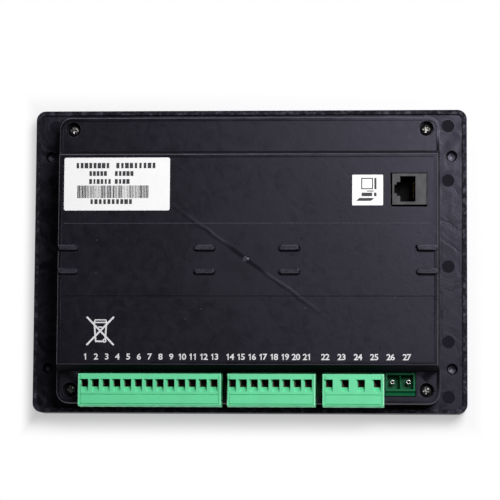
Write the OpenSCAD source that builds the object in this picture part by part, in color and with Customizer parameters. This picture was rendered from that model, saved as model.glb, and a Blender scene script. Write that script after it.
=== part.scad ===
// Genset controller for panel mounting, lying face down with its terminals upwards.
// Origin: centre of the front face. X runs along the terminal row, Y up the front, Z to the rear.

/* [Bezel] */
// Width of the flange beside the rear cover
flange_side = 13; // [12:0.1:18]
// Width of the flange above the rear cover
flange_top = 5; // [4:0.1:8]
// Width of the flange below the rear cover
flange_bottom = 4; // [3.5:0.1:8]
// Depth of the bezel from its front edge to the rim
bezel_depth = 14; // [13:0.5:18]
// Height of the rim above the flange
rim_rise = 1.4; // [0.6:0.1:2]
// Width of the rim
rim_w = 2.1; // [1.2:0.1:2.4]
// Corner radius of the bezel
bezel_r = 4.5; // [3.5:0.5:8]
// Thickness of the bezel's outer wall
bezel_wall = 2.6; // [2:0.1:3.5]
// Thickness of the flange web
web_t = 2.2; // [1.6:0.1:3]
// Diameter of the blind fixing holes in the flange
fixing_hole_d = 5.2; // [4:0.1:6]
// Depth of the fixing holes' upright wall above their round bottom
fixing_wall = 2; // [1.5:0.1:3]
// Distance of the fixing holes from the bezel's sides
fixing_inset = 7.2; // [6.6:0.1:8]
// Distance between the fixing holes along Y
fixing_span_y = 102; // [80:1:110]
// Diameter of the ejector pin marks on the flange
ejector_d = 5.8; // [4:0.1:6.4]

/* [Rear cover] */
// Wall thickness of the cover
cover_wall = 2.2; // [1.6:0.1:3]
// Corner radius of the cover
cover_r = 5.5; // [4:0.5:6]
// Height of the cover's low level above the flange
low_rise = 11.9; // [10:0.1:14]
// Height of the plateau above the low level
plateau_rise = 9.5; // [8:0.1:14]
// Size of the plateau's foot along Y
plateau_h = 105.1; // [98:0.1:120]
// Run of the plateau's sloped walls along Y
slope_run = 2.6; // [1:0.1:4]
// Run of the plateau's steeper side walls along X
side_run = 1.2; // [0.5:0.1:3]
// Width of the raised lip round the cover's surfaces
lip_w = 1.6; // [0.8:0.1:2.4]
// Height of the raised lip
lip_rise = 0.4; // [0.2:0.05:0.8]
// Size of the low strip above the plateau
top_strip = 16.2; // [15:0.1:24]
// Size of the low strip that holds the terminals
terminal_strip = 15.1; // [14.8:0.1:20]
// Size of the bar below the terminal cut-out
terminal_bar = 3.6; // [3:0.1:4]
// Size of the raised middle band along Y
band_h = 34.6; // [24:0.1:44]
// Height of the raised middle band
band_rise = 0.3; // [0.1:0.05:0.6]
// Length of the short moulded ribs
rib_len = 9.7; // [6:0.1:12]
// Width of the short moulded ribs
rib_w = 2.4; // [1.6:0.1:4]
// Height of the short moulded ribs
rib_rise = 1.6; // [0.8:0.1:2]
// Distance between the two ribs of a pair
rib_gap = 11.1; // [8:0.1:16]
// Distance of the inner rib pairs from the middle
rib_inner_x = 20; // [14:0.5:30]

/* [Cover screws] */
// Distance of the cover screws from the cover's sides and bottom
screw_inset = 6.5; // [6:0.1:7]
// Distance of the upper cover screws from the cover's top
screw_top_inset = 5.6; // [5.4:0.1:7]
// Wall of the screw columns around the counterbores
column_wall = 0.7; // [0.6:0.1:1.2]
// Gap between the terminal row and the screw columns
column_gap = 0.95; // [0.5:0.05:3]
// Diameter of the counterbores
counterbore_d = 7; // [6.6:0.1:8]
// Depth of the counterbores
counterbore_depth = 4.6; // [3.6:0.1:8]
// Thread diameter of the cover screws
screw_d = 3; // [2.5:0.1:3.5]
// Head diameter of the cover screws
screw_head_d = 5.6; // [5:0.1:6.2]
// Head height of the cover screws
screw_head_h = 2.2; // [1.6:0.1:2.8]

/* [Terminals] */
// Pole spacing of the two small connectors
small_pitch = 5.08; // [4.6:0.01:5.6]
// Pole spacing of the two wide connectors
wide_pitch = 7.5; // [7:0.01:8.4]
// Poles of the first plug
poles_1 = 13; // [8:1:14]
// Poles of the second plug
poles_2 = 8; // [4:1:10]
// Poles of the third plug
poles_3 = 4; // [2:1:6]
// Poles of the open spare header
poles_4 = 2; // [2:1:4]
// Wall beyond the outer poles of a plug
plug_end = 0.6; // [0.4:0.1:1.2]
// Shortening of the third plug at both ends
wide_trim = 0.65; // [0.4:0.05:1]
// Shortening of the spare header at both ends
spare_trim = 0.45; // [0.2:0.05:0.8]
// Height of a plug above the cover's low level
plug_rise = 10.2; // [9:0.1:13]
// Size of a plug along Y
plug_d = 15.2; // [14.8:0.1:17]
// Reach of a plug's tongues into its header
tongue_len = 9; // [7:0.1:9.4]
// Height of a header above the board
header_h = 12; // [11.5:0.1:13]
// Size of a header along Y
header_d = 8.7; // [8.4:0.1:9.4]
// Wall thickness of a header
header_wall = 1; // [0.8:0.1:1.2]
// Width of a wire hole
wire_hole_w = 3.3; // [2:0.1:3.5]
// Size of a wire hole along Y
wire_hole_h = 3.5; // [2.5:0.1:4]
// Diameter of a header contact
contact_d = 2.2; // [1.6:0.1:2.4]

/* [Data socket] */
// Size of the data socket along X
jack_w = 16.15; // [15:0.05:17]
// Size of the data socket along Y
jack_h = 14.75; // [14.2:0.05:17]
// Distance of the socket's middle from the cover's right side
jack_inset_x = 14.4; // [12.5:0.1:18]
// Distance of the socket's middle above the cover's middle
jack_rise_y = 32.5; // [20:0.1:36]
// Depth of the socket's face below the plateau
jack_recess = 0.3; // [0.2:0.1:1.5]
// Width of the plug cavity along X
jack_cavity_w = 7.1; // [6.6:0.1:7.4]
// Size of the plug cavity along Y
jack_cavity_h = 12.1; // [11.6:0.1:12.8]
// Depth of the plug cavity
jack_cavity_depth = 12.5; // [10:0.5:13]

/* [Front] */
// Thickness of the front panel
panel_t = 2; // [1.6:0.1:2.4]
// Depth of the front panel behind the bezel's front edge
panel_recess = 0.6; // [0.5:0.05:0.9]
// Thickness of the fascia film
film_t = 0.25; // [0.15:0.05:0.35]
// Width of the display window
window_w = 76; // [60:1:84]
// Height of the display window
window_h = 38; // [28:1:40]
// Height of the display's middle above the front's middle
display_y = 18; // [14:1:22]
// Thickness of the display module
display_t = 4; // [3.4:0.1:4.4]
// Diameter of the keys
key_d = 13; // [10:0.5:15]
// Distance between the keys
key_pitch = 24; // [20:0.5:26]
// Distance of the keys below the front's middle
key_drop = 34; // [30:1:36]
// Travel of a key
key_travel = 0.7; // [0.4:0.1:0.8]
// Diameter of the status lamps
lamp_d = 3; // [2:0.5:4]

/* [Boards] */
// Thickness of the circuit boards
board_t = 1.6; // [1.2:0.1:1.7]
// Width of the display board
display_board_w = 132; // [124:1:136]
// Height of the display board
display_board_h = 104; // [98:1:106]
// Thread diameter of the board screws
board_screw_d = 2.3; // [2:0.1:2.6]
// Head diameter of the board screws
board_screw_head_d = 4.4; // [4:0.1:5]

/* [Labels] */
// Width of the rating label
label_w = 50.3; // [40:0.1:56]
// Height of the rating label
label_h = 25.2; // [20:0.1:28]
// Distance of the rating label's middle from the cover's left side
label_inset_x = 28.8; // [27:0.05:36]
// Distance of the rating label's middle from the plateau's upper foot
label_drop_y = 16.9; // [16.9:0.05:24]
// Side of the square socket label
socket_label_w = 14.5; // [12:0.1:15.5]

/* [Clearances] */
// Gap between a moulding and what sits in it
fit_gap = 0.2; // [0.1:0.05:0.3]
// Gap around a part that slides
slide_gap = 0.3; // [0.2:0.05:0.4]
// Gap between a screw's thread and its pilot hole
thread_gap = 0.05; // [0.02:0.01:0.1]

/* [Hidden] */
$fn = 48;
eps = 0.5;

// Colours of the real materials
casing_black = "#2b2b30";
panel_grey = "#3a3c42";
film_grey = "#8f959d";
steel_grey = "#b9bcc0";
plug_green = "#5fd39a";
header_green = "#0c6a44";
board_green = "#1e5b35";
chip_black = "#1d1d1f";
brass_tone = "#c9a45a";
paper_white = "#f4f4f2";

// Terminal row, worked out from left to right
pole_counts = [poles_1, poles_2, poles_3, poles_4];
pitches = [small_pitch, small_pitch, wide_pitch, wide_pitch];
left_ends = [small_pitch / 2 + plug_end, small_pitch / 2,
             wide_pitch / 2 - wide_trim, wide_pitch / 2 - spare_trim];
right_ends = [small_pitch / 2 + plug_end, small_pitch / 2 + plug_end,
              wide_pitch / 2 - wide_trim, wide_pitch / 2 - spare_trim];
row_gaps = [2.96, 3.39, 0.45, 0];
function row_len(i) = (pole_counts[i] - 1) * pitches[i] + left_ends[i] + right_ends[i];
function row_reach(i) = i < 0 ? 0 : row_reach(i - 1) + row_len(i) + row_gaps[i];
row_w = row_reach(3);
row_left = -row_w / 2;
function row_x(i) = row_left + row_reach(i - 1);
function pole_x(i, k) = row_x(i) + left_ends[i] + k * pitches[i];

// Outline of the cover and the bezel
column_d = counterbore_d + 2 * column_wall;
body_w = row_w + 2 * (column_gap + column_d / 2 + screw_inset);
body_h = top_strip + plateau_h + terminal_strip;
bezel_w = body_w + 2 * flange_side;
bezel_h = body_h + flange_top + flange_bottom;
body_y = (flange_bottom - flange_top) / 2;
body_top_y = body_y + body_h / 2;
body_bottom_y = body_y - body_h / 2;
plateau_top_y = body_top_y - top_strip;
plateau_bottom_y = body_bottom_y + terminal_strip;

// Levels from the front edge to the rear
flange_z = bezel_depth - rim_rise;
web_z = flange_z - web_t;
panel_z = panel_recess;
panel_back_z = panel_z + panel_t;
board_z = web_z;
board_top_z = board_z + board_t;
low_z = flange_z + low_rise;
plateau_z = low_z + plateau_rise;
floor_z = plateau_z - lip_rise;
header_top_z = board_top_z + header_h;
plug_z = max(low_z, header_top_z) + slide_gap;
plug_top_z = plug_z + plug_rise;
display_board_z = panel_back_z + slide_gap + display_t;
tail_len = 1.8;
tail_z = board_z - tail_len;

// Screw places: cover corners, main board and display board
screw_x = body_w / 2 - screw_inset;
screw_ys = [body_top_y - screw_top_inset, body_bottom_y + screw_inset];
screw_seat_z = low_z - counterbore_depth;
notch_x = screw_x - column_d / 2;
web_margin = 3.8;
web_bar = 3;
column_clear = 0.7;
main_board_gap = 0.9;
board_screw_gap = 5.5;
board_screw_x = display_board_w / 2 + board_screw_gap;
board_screw_drop = 7;
board_screw_rise = 9;
board_screw_mid = 2;
board_screw_ys = [screw_ys[0] - board_screw_drop, board_screw_mid, plateau_bottom_y + board_screw_rise];
display_screw_inset = 4;
display_screw_x = display_board_w / 2 - display_screw_inset;
display_screw_y = display_board_h / 2 - display_screw_inset;
standoff_r = 3;
pilot_floor = 1;
board_head_h = 1.8;

// Plugs and headers
header_y = plateau_bottom_y - slide_gap - header_d / 2;
header_floor = 2.4;
spare_floor = 6.5;
ledge_d = 2.1;
ledge_drop = 1.2;
function floor_of(i) = i == 3 ? spare_floor : header_floor;
divider_t = 0.5;
divider_drop = 0.6;
tongue_d = header_d - 2 * (header_wall + slide_gap);
plug_y = header_y + tongue_d / 2;
plug_front_y = plug_y - plug_d;
wire_inset = 4.3;
wire_y = plug_y - wire_inset;
wire_bottom_y = wire_y - wire_hole_h / 2;
ramp_run = 2.3;
ramp_depth = 2.2;
hole_bevel = 0.8;
hole_bevel_depth = 1.2;
hole_bevel_foot = 0.4;
face_line_inset = 9.9;
face_line_y = plug_y - face_line_inset;
line_w = 0.3;
line_depth = 0.45;
face_border = 0.95;
face_chamfer = 0.6;
cage_w = 3.7;
cage_d = 4.6;
cage_h = 6.2;
cage_wall = 0.6;
cage_drop = 2.4;
cage_top_z = plug_top_z - cage_drop;
cage_z = cage_top_z - cage_h;
clamp_z = cage_z + cage_h / 2;
clamp_screw_d = 2.5;
clamp_head_d = 3.5;
clamp_head_h = 1.7;
clamp_head_inset = 0.8;
clamp_head_y = plug_front_y + clamp_head_inset;
contact_drop = 2.5;
spare_contact_drop = 1.7;
function contact_top(i) = header_top_z - (i == 3 ? spare_contact_drop : contact_drop);
contact_bore_d = contact_d / 2;
contact_slit = 0.7;
contact_room = contact_d + 2 * slide_gap;
leaf_t = 0.4;
leaf_w = 1.6;
leaf_inset = 1;
leaf_room = leaf_t + slide_gap;
tongue_z = plug_z - tongue_len;

// Data socket
jack_x = body_w / 2 - jack_inset_x;
jack_y = body_y + jack_rise_y;
jack_top_z = floor_z - jack_recess;
cavity_shift = [-0.75, 0.05];
jack_side_gap = 0.8;
jack_foot_gap = 1;
cavity_x = jack_x + cavity_shift[0];
cavity_y = jack_y + cavity_shift[1];
cavity_z = jack_top_z - jack_cavity_depth;
latch_h = [6.5, 4];
latch_d = [1.7, 1.1];
jack_wires = 8;
jack_wire_pitch = 1.02;
jack_wire_t = 0.4;
jack_wire_inset = 1.2;
latch_floor = 3;

// Heat sink place on the main board
sink_x = -62;
sink_y = 14;

// Labels
label_t = 0.12;
label_r = 0.4;
socket_label_step = 19.6;
socket_label_drop = 0.5;

// Front
key_names = ["stop", "manual", "auto", "start", "page"];
key_tones = ["#b3262b", "#5b6068", "#5b6068", "#2f8f4e", "#5b6068"];
key_y = -key_drop;
key_face_z = 0.2;
key_collar = 1.2;
key_collar_t = 1;
key_gap = 0.05;
key_end_z = panel_back_z + key_gap + key_collar_t;
switch_w = 6;
switch_tip_z = key_end_z + key_travel + slide_gap;
switch_knob_h = 0.7;
lamp_drop = 1;
lamp_y = (key_y + display_y - window_h / 2) / 2 - lamp_drop;
lens_t = 1.1;
lens_border = 2;
frame_border = 6;
frame_t = 0.6;
glass_margin = 1;
glass_gap = 0.1;
function key_x(i) = (i - (len(key_names) - 1) / 2) * key_pitch;

// Flat outline with round corners, centred
module round_outline(w, h, r) {
    square([w, h - 2 * r], center = true);
    square([w - 2 * r, h], center = true);
    for (x = [-1, 1], y = [-1, 1])
        translate([x * (w / 2 - r), y * (h / 2 - r)]) circle(r);
}

// Block with round upright edges, standing on z
module round_block(w, h, r, z, t) {
    translate([0, 0, z]) linear_extrude(t) round_outline(w, h, r);
}

// Box between two corners
module span_box(low, high) {
    translate(low) cube(high - low);
}

// Upright cylinder from z to z + h
module post(x, y, z, h, d) {
    translate([x, y, z]) cylinder(d = d, h = h);
}

// Children at the four cover screws
module at_cover_screws() {
    for (x = [-screw_x, screw_x], y = screw_ys) translate([x, y, 0]) children();
}

// Children at the main board's screws
module at_board_screws() {
    for (x = [-board_screw_x, board_screw_x], y = board_screw_ys) translate([x, y, 0]) children();
}

// Children at the display board's screws
module at_display_screws() {
    for (x = [-display_screw_x, display_screw_x], y = [-display_screw_y, display_screw_y])
        translate([x, y, 0]) children();
}

// Outline inside the cover that leaves its screw columns free, drawn in by a gap
module inner_outline(gap) {
    w = body_w - 2 * web_margin - 2 * gap;
    span = screw_ys[0] - screw_ys[1] - column_d - 2 * (column_clear + gap);
    translate([0, body_y]) square([w, span], center = true);
    translate([0, body_y]) square([2 * (notch_x - gap), body_h - 2 * (web_bar + gap)], center = true);
}

module front_bezel() {
    boss_wall = 1.6;
    mark_depth = 0.15;
    color(casing_black) difference() {
        union() {
            difference() {
                round_block(bezel_w, bezel_h, bezel_r, 0, bezel_depth);
                round_block(bezel_w - 2 * rim_w, bezel_h - 2 * rim_w, bezel_r - rim_w,
                            flange_z, rim_rise + eps);
                round_block(bezel_w - 2 * bezel_wall, bezel_h - 2 * bezel_wall, bezel_r - bezel_wall / 2,
                            -eps, web_z + eps);
                translate([0, 0, web_z - eps]) linear_extrude(web_t + 2 * eps) inner_outline(0);
            }
            at_fixing_holes()
                post(0, 0, panel_back_z, web_z - panel_back_z + eps, fixing_hole_d + 2 * boss_wall);
        }
        at_fixing_holes() {
            post(0, 0, flange_z - fixing_wall, fixing_wall + eps, fixing_hole_d);
            translate([0, 0, flange_z - fixing_wall]) sphere(d = fixing_hole_d);
        }
        at_cover_screws() post(0, 0, web_z - eps, web_t + 2 * eps, screw_d + 2 * fit_gap);
        at_ejector_marks() post(0, 0, flange_z - mark_depth, eps, ejector_d);
    }
}

// Children at the four blind fixing holes
module at_fixing_holes() {
    x = bezel_w / 2 - fixing_inset;
    for (s = [-1, 1], t = [-1, 1]) translate([s * x, body_y + t * fixing_span_y / 2, 0]) children();
}

// Children at the ejector pin marks along both side flanges
module at_ejector_marks() {
    gap = 1.1;
    end_inset = 7.7;
    step = 12.3;
    low_y = -2.7;
    x = body_w / 2 + ejector_d / 2 + gap;
    end_y = bezel_h / 2 - end_inset;
    mid_y = fixing_span_y / 2 - step;
    for (s = [-1, 1], y = [-end_y, -mid_y, low_y, mid_y, end_y]) translate([s * x, y, 0]) children();
}

module front_panel() {
    w = bezel_w - 2 * bezel_wall - 2 * fit_gap;
    h = bezel_h - 2 * bezel_wall - 2 * fit_gap;
    color(panel_grey) difference() {
        union() {
            round_block(w, h, bezel_r - bezel_wall / 2, panel_z, panel_t);
            at_cover_screws() post(0, 0, panel_z + eps, web_z - panel_z - eps, 2 * standoff_r);
            at_board_screws() post(0, 0, panel_z + eps, board_z - panel_z - eps, 2 * standoff_r);
            at_display_screws() post(0, 0, panel_z + eps, display_board_z - panel_z - eps, 2 * standoff_r);
        }
        at_cover_screws() post(0, 0, panel_back_z + pilot_floor, web_z, screw_d + 2 * thread_gap);
        at_board_screws() post(0, 0, panel_back_z + pilot_floor, board_z, board_screw_d + 2 * thread_gap);
        at_display_screws()
            post(0, 0, panel_back_z + pilot_floor / 2, display_board_z, board_screw_d + 2 * thread_gap);
        translate([0, display_y, panel_z]) {
            cube([window_w, window_h, 4 * panel_t], center = true);
            cube([lens_w() + 2 * fit_gap, lens_h() + 2 * fit_gap, 2 * lens_t], center = true);
        }
        for (i = [0 : len(key_names) - 1])
            post(key_x(i), key_y, panel_z - eps, panel_t + 2 * eps, key_d + 2 * slide_gap);
        at_lamps() post(0, 0, panel_z - eps, panel_t + 2 * eps, lamp_d + 2 * fit_gap);
    }
}

function lens_w() = window_w + 2 * lens_border;
function lens_h() = window_h + 2 * lens_border;

// Children at the status lamps, one between each two keys
module at_lamps() {
    for (i = [0 : len(key_names) - 2]) translate([key_x(i) + key_pitch / 2, lamp_y, 0]) children();
}

module fascia_film() {
    w = bezel_w - 2 * bezel_wall - 6 * fit_gap;
    h = bezel_h - 2 * bezel_wall - 6 * fit_gap;
    color(film_grey) difference() {
        round_block(w, h, bezel_r - bezel_wall / 2, panel_z - film_t, film_t);
        translate([0, display_y, panel_z]) cube([window_w, window_h, 4 * film_t], center = true);
        for (i = [0 : len(key_names) - 1])
            post(key_x(i), key_y, 0, panel_z + eps, key_d + 2 * slide_gap);
        at_lamps() post(0, 0, 0, panel_z + eps, lamp_d);
    }
}

module display_lens() {
    color("#9fb3a4", 0.5) translate([-lens_w() / 2, display_y - lens_h() / 2, panel_z])
        cube([lens_w(), lens_h(), lens_t]);
}

module display_frame() {
    w = window_w + 2 * frame_border;
    h = window_h + 2 * frame_border;
    color(steel_grey) translate([0, display_y, display_board_z - display_t]) difference() {
        translate([-w / 2, -h / 2, 0]) cube([w, h, display_t]);
        translate([-window_w / 2, -window_h / 2, -eps]) cube([window_w, window_h, display_t / 2]);
        translate([-window_w / 2 - glass_margin, -window_h / 2 - glass_margin, frame_t])
            cube([window_w + 2 * glass_margin, window_h + 2 * glass_margin, display_t - 2 * frame_t]);
    }
}

module display_glass() {
    margin = glass_margin - glass_gap;
    glass_z = display_board_z - display_t + frame_t;
    color("#7f9a72") translate([-window_w / 2 - margin, display_y - window_h / 2 - margin, glass_z])
        cube([window_w + 2 * margin, window_h + 2 * margin, display_t - 2 * frame_t - glass_gap]);
}

// One key: dished cap through the front panel with a collar behind it
module key(i) {
    dish_r = key_d * 2;
    dish_depth = 0.3;
    color(key_tones[i]) translate([key_x(i), key_y, 0]) difference() {
        union() {
            post(0, 0, key_face_z, panel_back_z - key_face_z + eps, key_d);
            post(0, 0, key_end_z - key_collar_t, key_collar_t, key_d + 2 * key_collar);
        }
        translate([0, 0, key_face_z + dish_depth - dish_r]) sphere(dish_r);
    }
}

module key_switches() {
    color(chip_black) for (i = [0 : len(key_names) - 1]) translate([key_x(i), key_y, 0]) {
        span_box([-switch_w / 2, -switch_w / 2, switch_tip_z + switch_knob_h],
                 [switch_w / 2, switch_w / 2, display_board_z]);
        post(0, 0, switch_tip_z, switch_knob_h + eps, switch_w / 2);
    }
}

module status_lamps() {
    collar_h = 1;
    collar_w = 0.4;
    dome_z = panel_z + fit_gap + lamp_d / 2;
    color("#e8e3d0") at_lamps() {
        post(0, 0, dome_z, display_board_z - dome_z, lamp_d);
        translate([0, 0, dome_z]) sphere(d = lamp_d);
        post(0, 0, display_board_z - collar_h, collar_h, lamp_d + 2 * collar_w);
    }
}

module display_board() {
    color(board_green) difference() {
        translate([-display_board_w / 2, -display_board_h / 2, display_board_z])
            cube([display_board_w, display_board_h, board_t]);
        at_display_screws()
            post(0, 0, display_board_z - eps, board_t + 2 * eps, board_screw_d + 2 * fit_gap);
    }
}

// Pan-head screw with a cross recess, its thread downwards from the seat
module cross_screw(seat_z, thread_len, thread_d, head_d, head_h) {
    recess_w = head_d * 0.16;
    recess_len = head_d * 0.56;
    recess_z = seat_z + head_h * 0.45;
    dome_r = head_d * 0.62;
    difference() {
        union() {
            intersection() {
                post(0, 0, seat_z, head_h, head_d);
                translate([0, 0, seat_z + head_h - dome_r]) sphere(dome_r);
            }
            post(0, 0, seat_z - thread_len, thread_len + head_h / 3, thread_d);
        }
        for (a = [0, 90]) rotate(a)
            translate([-recess_len / 2, -recess_w / 2, recess_z]) cube([recess_len, recess_w, head_h]);
    }
}

module display_board_screws() {
    seat = display_board_z + board_t;
    head_h = web_z - seat - slide_gap;
    color(steel_grey) at_display_screws()
        cross_screw(seat, seat - panel_back_z - pilot_floor, board_screw_d, board_screw_head_d, head_h);
}

module main_board() {
    color(board_green) difference() {
        translate([0, 0, board_z]) linear_extrude(board_t) inner_outline(main_board_gap);
        at_board_screws() post(0, 0, board_z - eps, board_t + 2 * eps, board_screw_d + 2 * fit_gap);
        for (i = [0 : 3]) at_poles(i)
            post(0, 0, board_z - eps, board_t + 2 * eps, contact_bore_d + 2 * fit_gap);
        at_jack_wires() translate([jack_wire_x(), -jack_wire_t, board_z - eps])
            cube([jack_wire_t * 2, jack_wire_t * 2, board_t + 2 * eps]);
    }
}

module main_board_screws() {
    thread_len = board_top_z - panel_back_z - 1.5 * pilot_floor;
    color(steel_grey) at_board_screws()
        cross_screw(board_top_z, thread_len, board_screw_d, board_screw_head_d, board_head_h);
}

// Stacked connector pair between the two boards
module board_link() {
    gap_z = display_board_z + board_t;
    link_len = 30;
    link_w = 5;
    flange_w = 0.4;
    flange_h = 0.6;
    link_inset = 26;
    link_drop = 7;
    color(chip_black)
        translate([link_inset - display_board_w / 2, display_board_h / 2 - link_drop, gap_z]) {
            span_box([-link_len / 2, -link_w / 2, 0], [link_len / 2, link_w / 2, board_z - gap_z]);
            span_box([-link_len / 2, -link_w / 2 - flange_w, 0],
                     [link_len / 2, link_w / 2 + flange_w, flange_h]);
        }
}

// Form of the cover, drawn in by a wall: flat base plus a plateau with sloped sides
module cover_form(inset) {
    base_top = low_z - inset;
    top = plateau_z - inset;
    half_w = body_w / 2 - wall_run(inset, side_run);
    half_h = plateau_h / 2 - wall_run(inset, slope_run);
    mid_y = (plateau_top_y + plateau_bottom_y) / 2;
    translate([0, body_y, 0])
        round_block(body_w - 2 * inset, body_h - 2 * inset, cover_r - inset, flange_z, low_rise - inset);
    intersection() {
        translate([0, mid_y + half_h + eps, 0]) rotate([90, 0, 0])
            linear_extrude(2 * half_h + 2 * eps) slope_profile(half_w, side_run, base_top, top);
        translate([-half_w - eps, mid_y, 0]) rotate([90, 0, 90])
            linear_extrude(2 * half_w + 2 * eps) slope_profile(half_h, slope_run, base_top, top);
    }
}

// Level width of a wall that stands on a slope
function wall_run(inset, run) = inset * norm([run, plateau_rise]) / plateau_rise;

// Trapezium on a short upright foot
module slope_profile(half, run, base, top) {
    foot = base - eps;
    polygon([[-half, foot], [half, foot], [half, base],
             [half - run, top], [run - half, top], [-half, base]]);
}

// Short rib with round ends, lying along X
module short_rib(z, h) {
    translate([0, 0, z]) linear_extrude(h) {
        square([rib_len - rib_w, rib_w], center = true);
        for (s = [-1, 1]) translate([s * (rib_len - rib_w) / 2, 0]) circle(d = rib_w);
    }
}

// Recesses that leave a raised lip round the low level and the plateau
module lip_recess() {
    strip_r = cover_r - lip_w;
    intersection() {
        translate([0, body_y, 0])
            round_block(body_w - 2 * lip_w, body_h - 2 * lip_w, strip_r, low_z - lip_rise, lip_rise + eps);
        for (y = [[plateau_top_y, body_top_y], [body_bottom_y, plateau_bottom_y]])
            span_box([-body_w / 2, y[0], low_z - eps], [body_w / 2, y[1], low_z + eps]);
    }
    span_box([-body_w / 2 + side_run + lip_w, plateau_bottom_y + slope_run + lip_w, floor_z],
             [body_w / 2 - side_run - lip_w, plateau_top_y - slope_run - lip_w, plateau_z + eps]);
}

module rear_cover() {
    edge_x = body_w / 2 - side_run;
    band_drop = 0.8;
    band_y = body_y - band_drop;
    outer_rib_x = edge_x - rib_len / 2;
    gate_d = 3;
    gate_depth = 0.4;
    color(casing_black) difference() {
        union() {
            difference() {
                cover_form(0);
                difference() {
                    translate([0, 0, -eps]) cover_form(cover_wall);
                    at_cover_screws() post(0, 0, flange_z, low_rise, column_d);
                }
                lip_recess();
                translate([0, body_y, flange_z - eps]) linear_extrude(eps)
                    square([body_w + 1, body_h + 1], center = true);
            }
            span_box([lip_w - edge_x, band_y - band_h / 2, floor_z - eps],
                     [edge_x - lip_w, band_y + band_h / 2, floor_z + band_rise]);
            for (x = [-outer_rib_x, -rib_inner_x, rib_inner_x, outer_rib_x], s = [-1, 1])
                translate([x, band_y + s * rib_gap / 2, 0]) short_rib(floor_z - eps, rib_rise + eps);
        }
        at_cover_screws() {
            post(0, 0, screw_seat_z, counterbore_depth + eps, counterbore_d);
            post(0, 0, flange_z - eps, low_rise, screw_d + 2 * fit_gap);
        }
        span_box([row_left - slide_gap, body_bottom_y + terminal_bar, low_z - cover_wall - eps],
                 [row_left + row_w + slide_gap, plateau_bottom_y, low_z + eps]);
        span_box([jack_x - jack_w / 2 - jack_side_gap, jack_y - jack_h / 2 - jack_foot_gap,
                  plateau_z - 2 * cover_wall],
                 [jack_x + jack_w / 2 + fit_gap, jack_y + jack_h / 2 + fit_gap, plateau_z + eps]);
        post(0, band_y, floor_z + band_rise - gate_depth, 2 * gate_depth, gate_d);
    }
}

module cover_screws() {
    color(steel_grey) at_cover_screws()
        cross_screw(screw_seat_z, screw_seat_z - panel_back_z - 2 * pilot_floor, screw_d, screw_head_d,
                    screw_head_h);
}

// Thin printed labels on the plateau
module rating_label() {
    color(paper_white) translate([label_inset_x - body_w / 2, plateau_top_y - label_drop_y, 0])
        round_block(label_w, label_h, label_r, floor_z, label_t);
}

module socket_label() {
    color(paper_white) translate([jack_x - socket_label_step, jack_y - socket_label_drop, 0])
        round_block(socket_label_w, socket_label_w, label_r, floor_z, label_t);
}

// Children at each pole of connector i, on the headers' middle line
module at_poles(i) {
    for (k = [0 : pole_counts[i] - 1]) translate([pole_x(i, k), header_y, 0]) children();
}

// Open-topped header with a thin divider between its poles and a ledge in front
module header(i) {
    x = row_x(i);
    w = row_len(i);
    y0 = header_y - header_d / 2;
    color(header_green) difference() {
        union() {
            span_box([x, y0, board_top_z], [x + w, y0 + header_d, header_top_z]);
            span_box([x, y0 - ledge_d, board_top_z], [x + w, y0 + eps, header_top_z - ledge_drop]);
        }
        difference() {
            span_box([x + header_wall, y0 + header_wall, board_top_z + floor_of(i)],
                     [x + w - header_wall, y0 + header_d - header_wall, header_top_z + eps]);
            for (k = [0 : pole_counts[i] - 2]) translate([pole_x(i, k) + pitches[i] / 2, y0, board_top_z])
                span_box([-divider_t / 2, 0, 0], [divider_t / 2, header_d, header_h - divider_drop]);
        }
        at_poles(i) post(0, 0, board_top_z - eps, floor_of(i) + 2 * eps, contact_d + 2 * thread_gap);
    }
}

// Split tube contacts with solder tails
module contacts(i) {
    color(steel_grey) at_poles(i) difference() {
        union() {
            post(0, 0, board_top_z, contact_top(i) - board_top_z, contact_d);
            post(0, 0, tail_z, board_top_z - tail_z + eps, contact_bore_d);
        }
        post(0, 0, board_top_z + floor_of(i), header_h, contact_bore_d);
        span_box([0, -contact_slit / 2, board_top_z + floor_of(i)],
                 [contact_d, contact_slit / 2, header_top_z]);
    }
}

// Side profile of a plug's rear block, in Y and Z
module plug_profile() {
    polygon([[plug_front_y, plug_z], [plug_y, plug_z], [plug_y, plug_top_z],
             [plug_front_y + face_chamfer, plug_top_z], [plug_front_y, plug_top_z - face_chamfer]]);
}

// Pluggable terminal block: rear block with wire funnels, and one tongue per pole
module plug(i) {
    x = row_x(i);
    w = row_len(i);
    end_room = min(left_ends[i], right_ends[i]) - header_wall - slide_gap;
    tongue_reach = min((pitches[i] - divider_t) / 2 - slide_gap, end_room);
    left = x + face_border;
    right = x + w - face_border;
    lower = plug_front_y + face_border;
    color(plug_green) difference() {
        union() {
            translate([x, 0, 0]) rotate([90, 0, 90]) linear_extrude(w) plug_profile();
            at_poles(i) span_box([-tongue_reach, plug_y - tongue_d - header_y, tongue_z],
                                 [tongue_reach, plug_y - header_y, plug_z + eps]);
        }
        at_poles(i) translate([0, -header_y, 0]) pole_cuts();
        for (y = [lower, face_line_y])
            span_box([left, y, plug_top_z - line_depth], [right, y + line_w, plug_top_z + eps]);
        for (line_x = [left, right - line_w])
            span_box([line_x, lower, plug_top_z - line_depth],
                     [line_x + line_w, plug_y - face_border, plug_top_z + eps]);
    }
}

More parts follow.
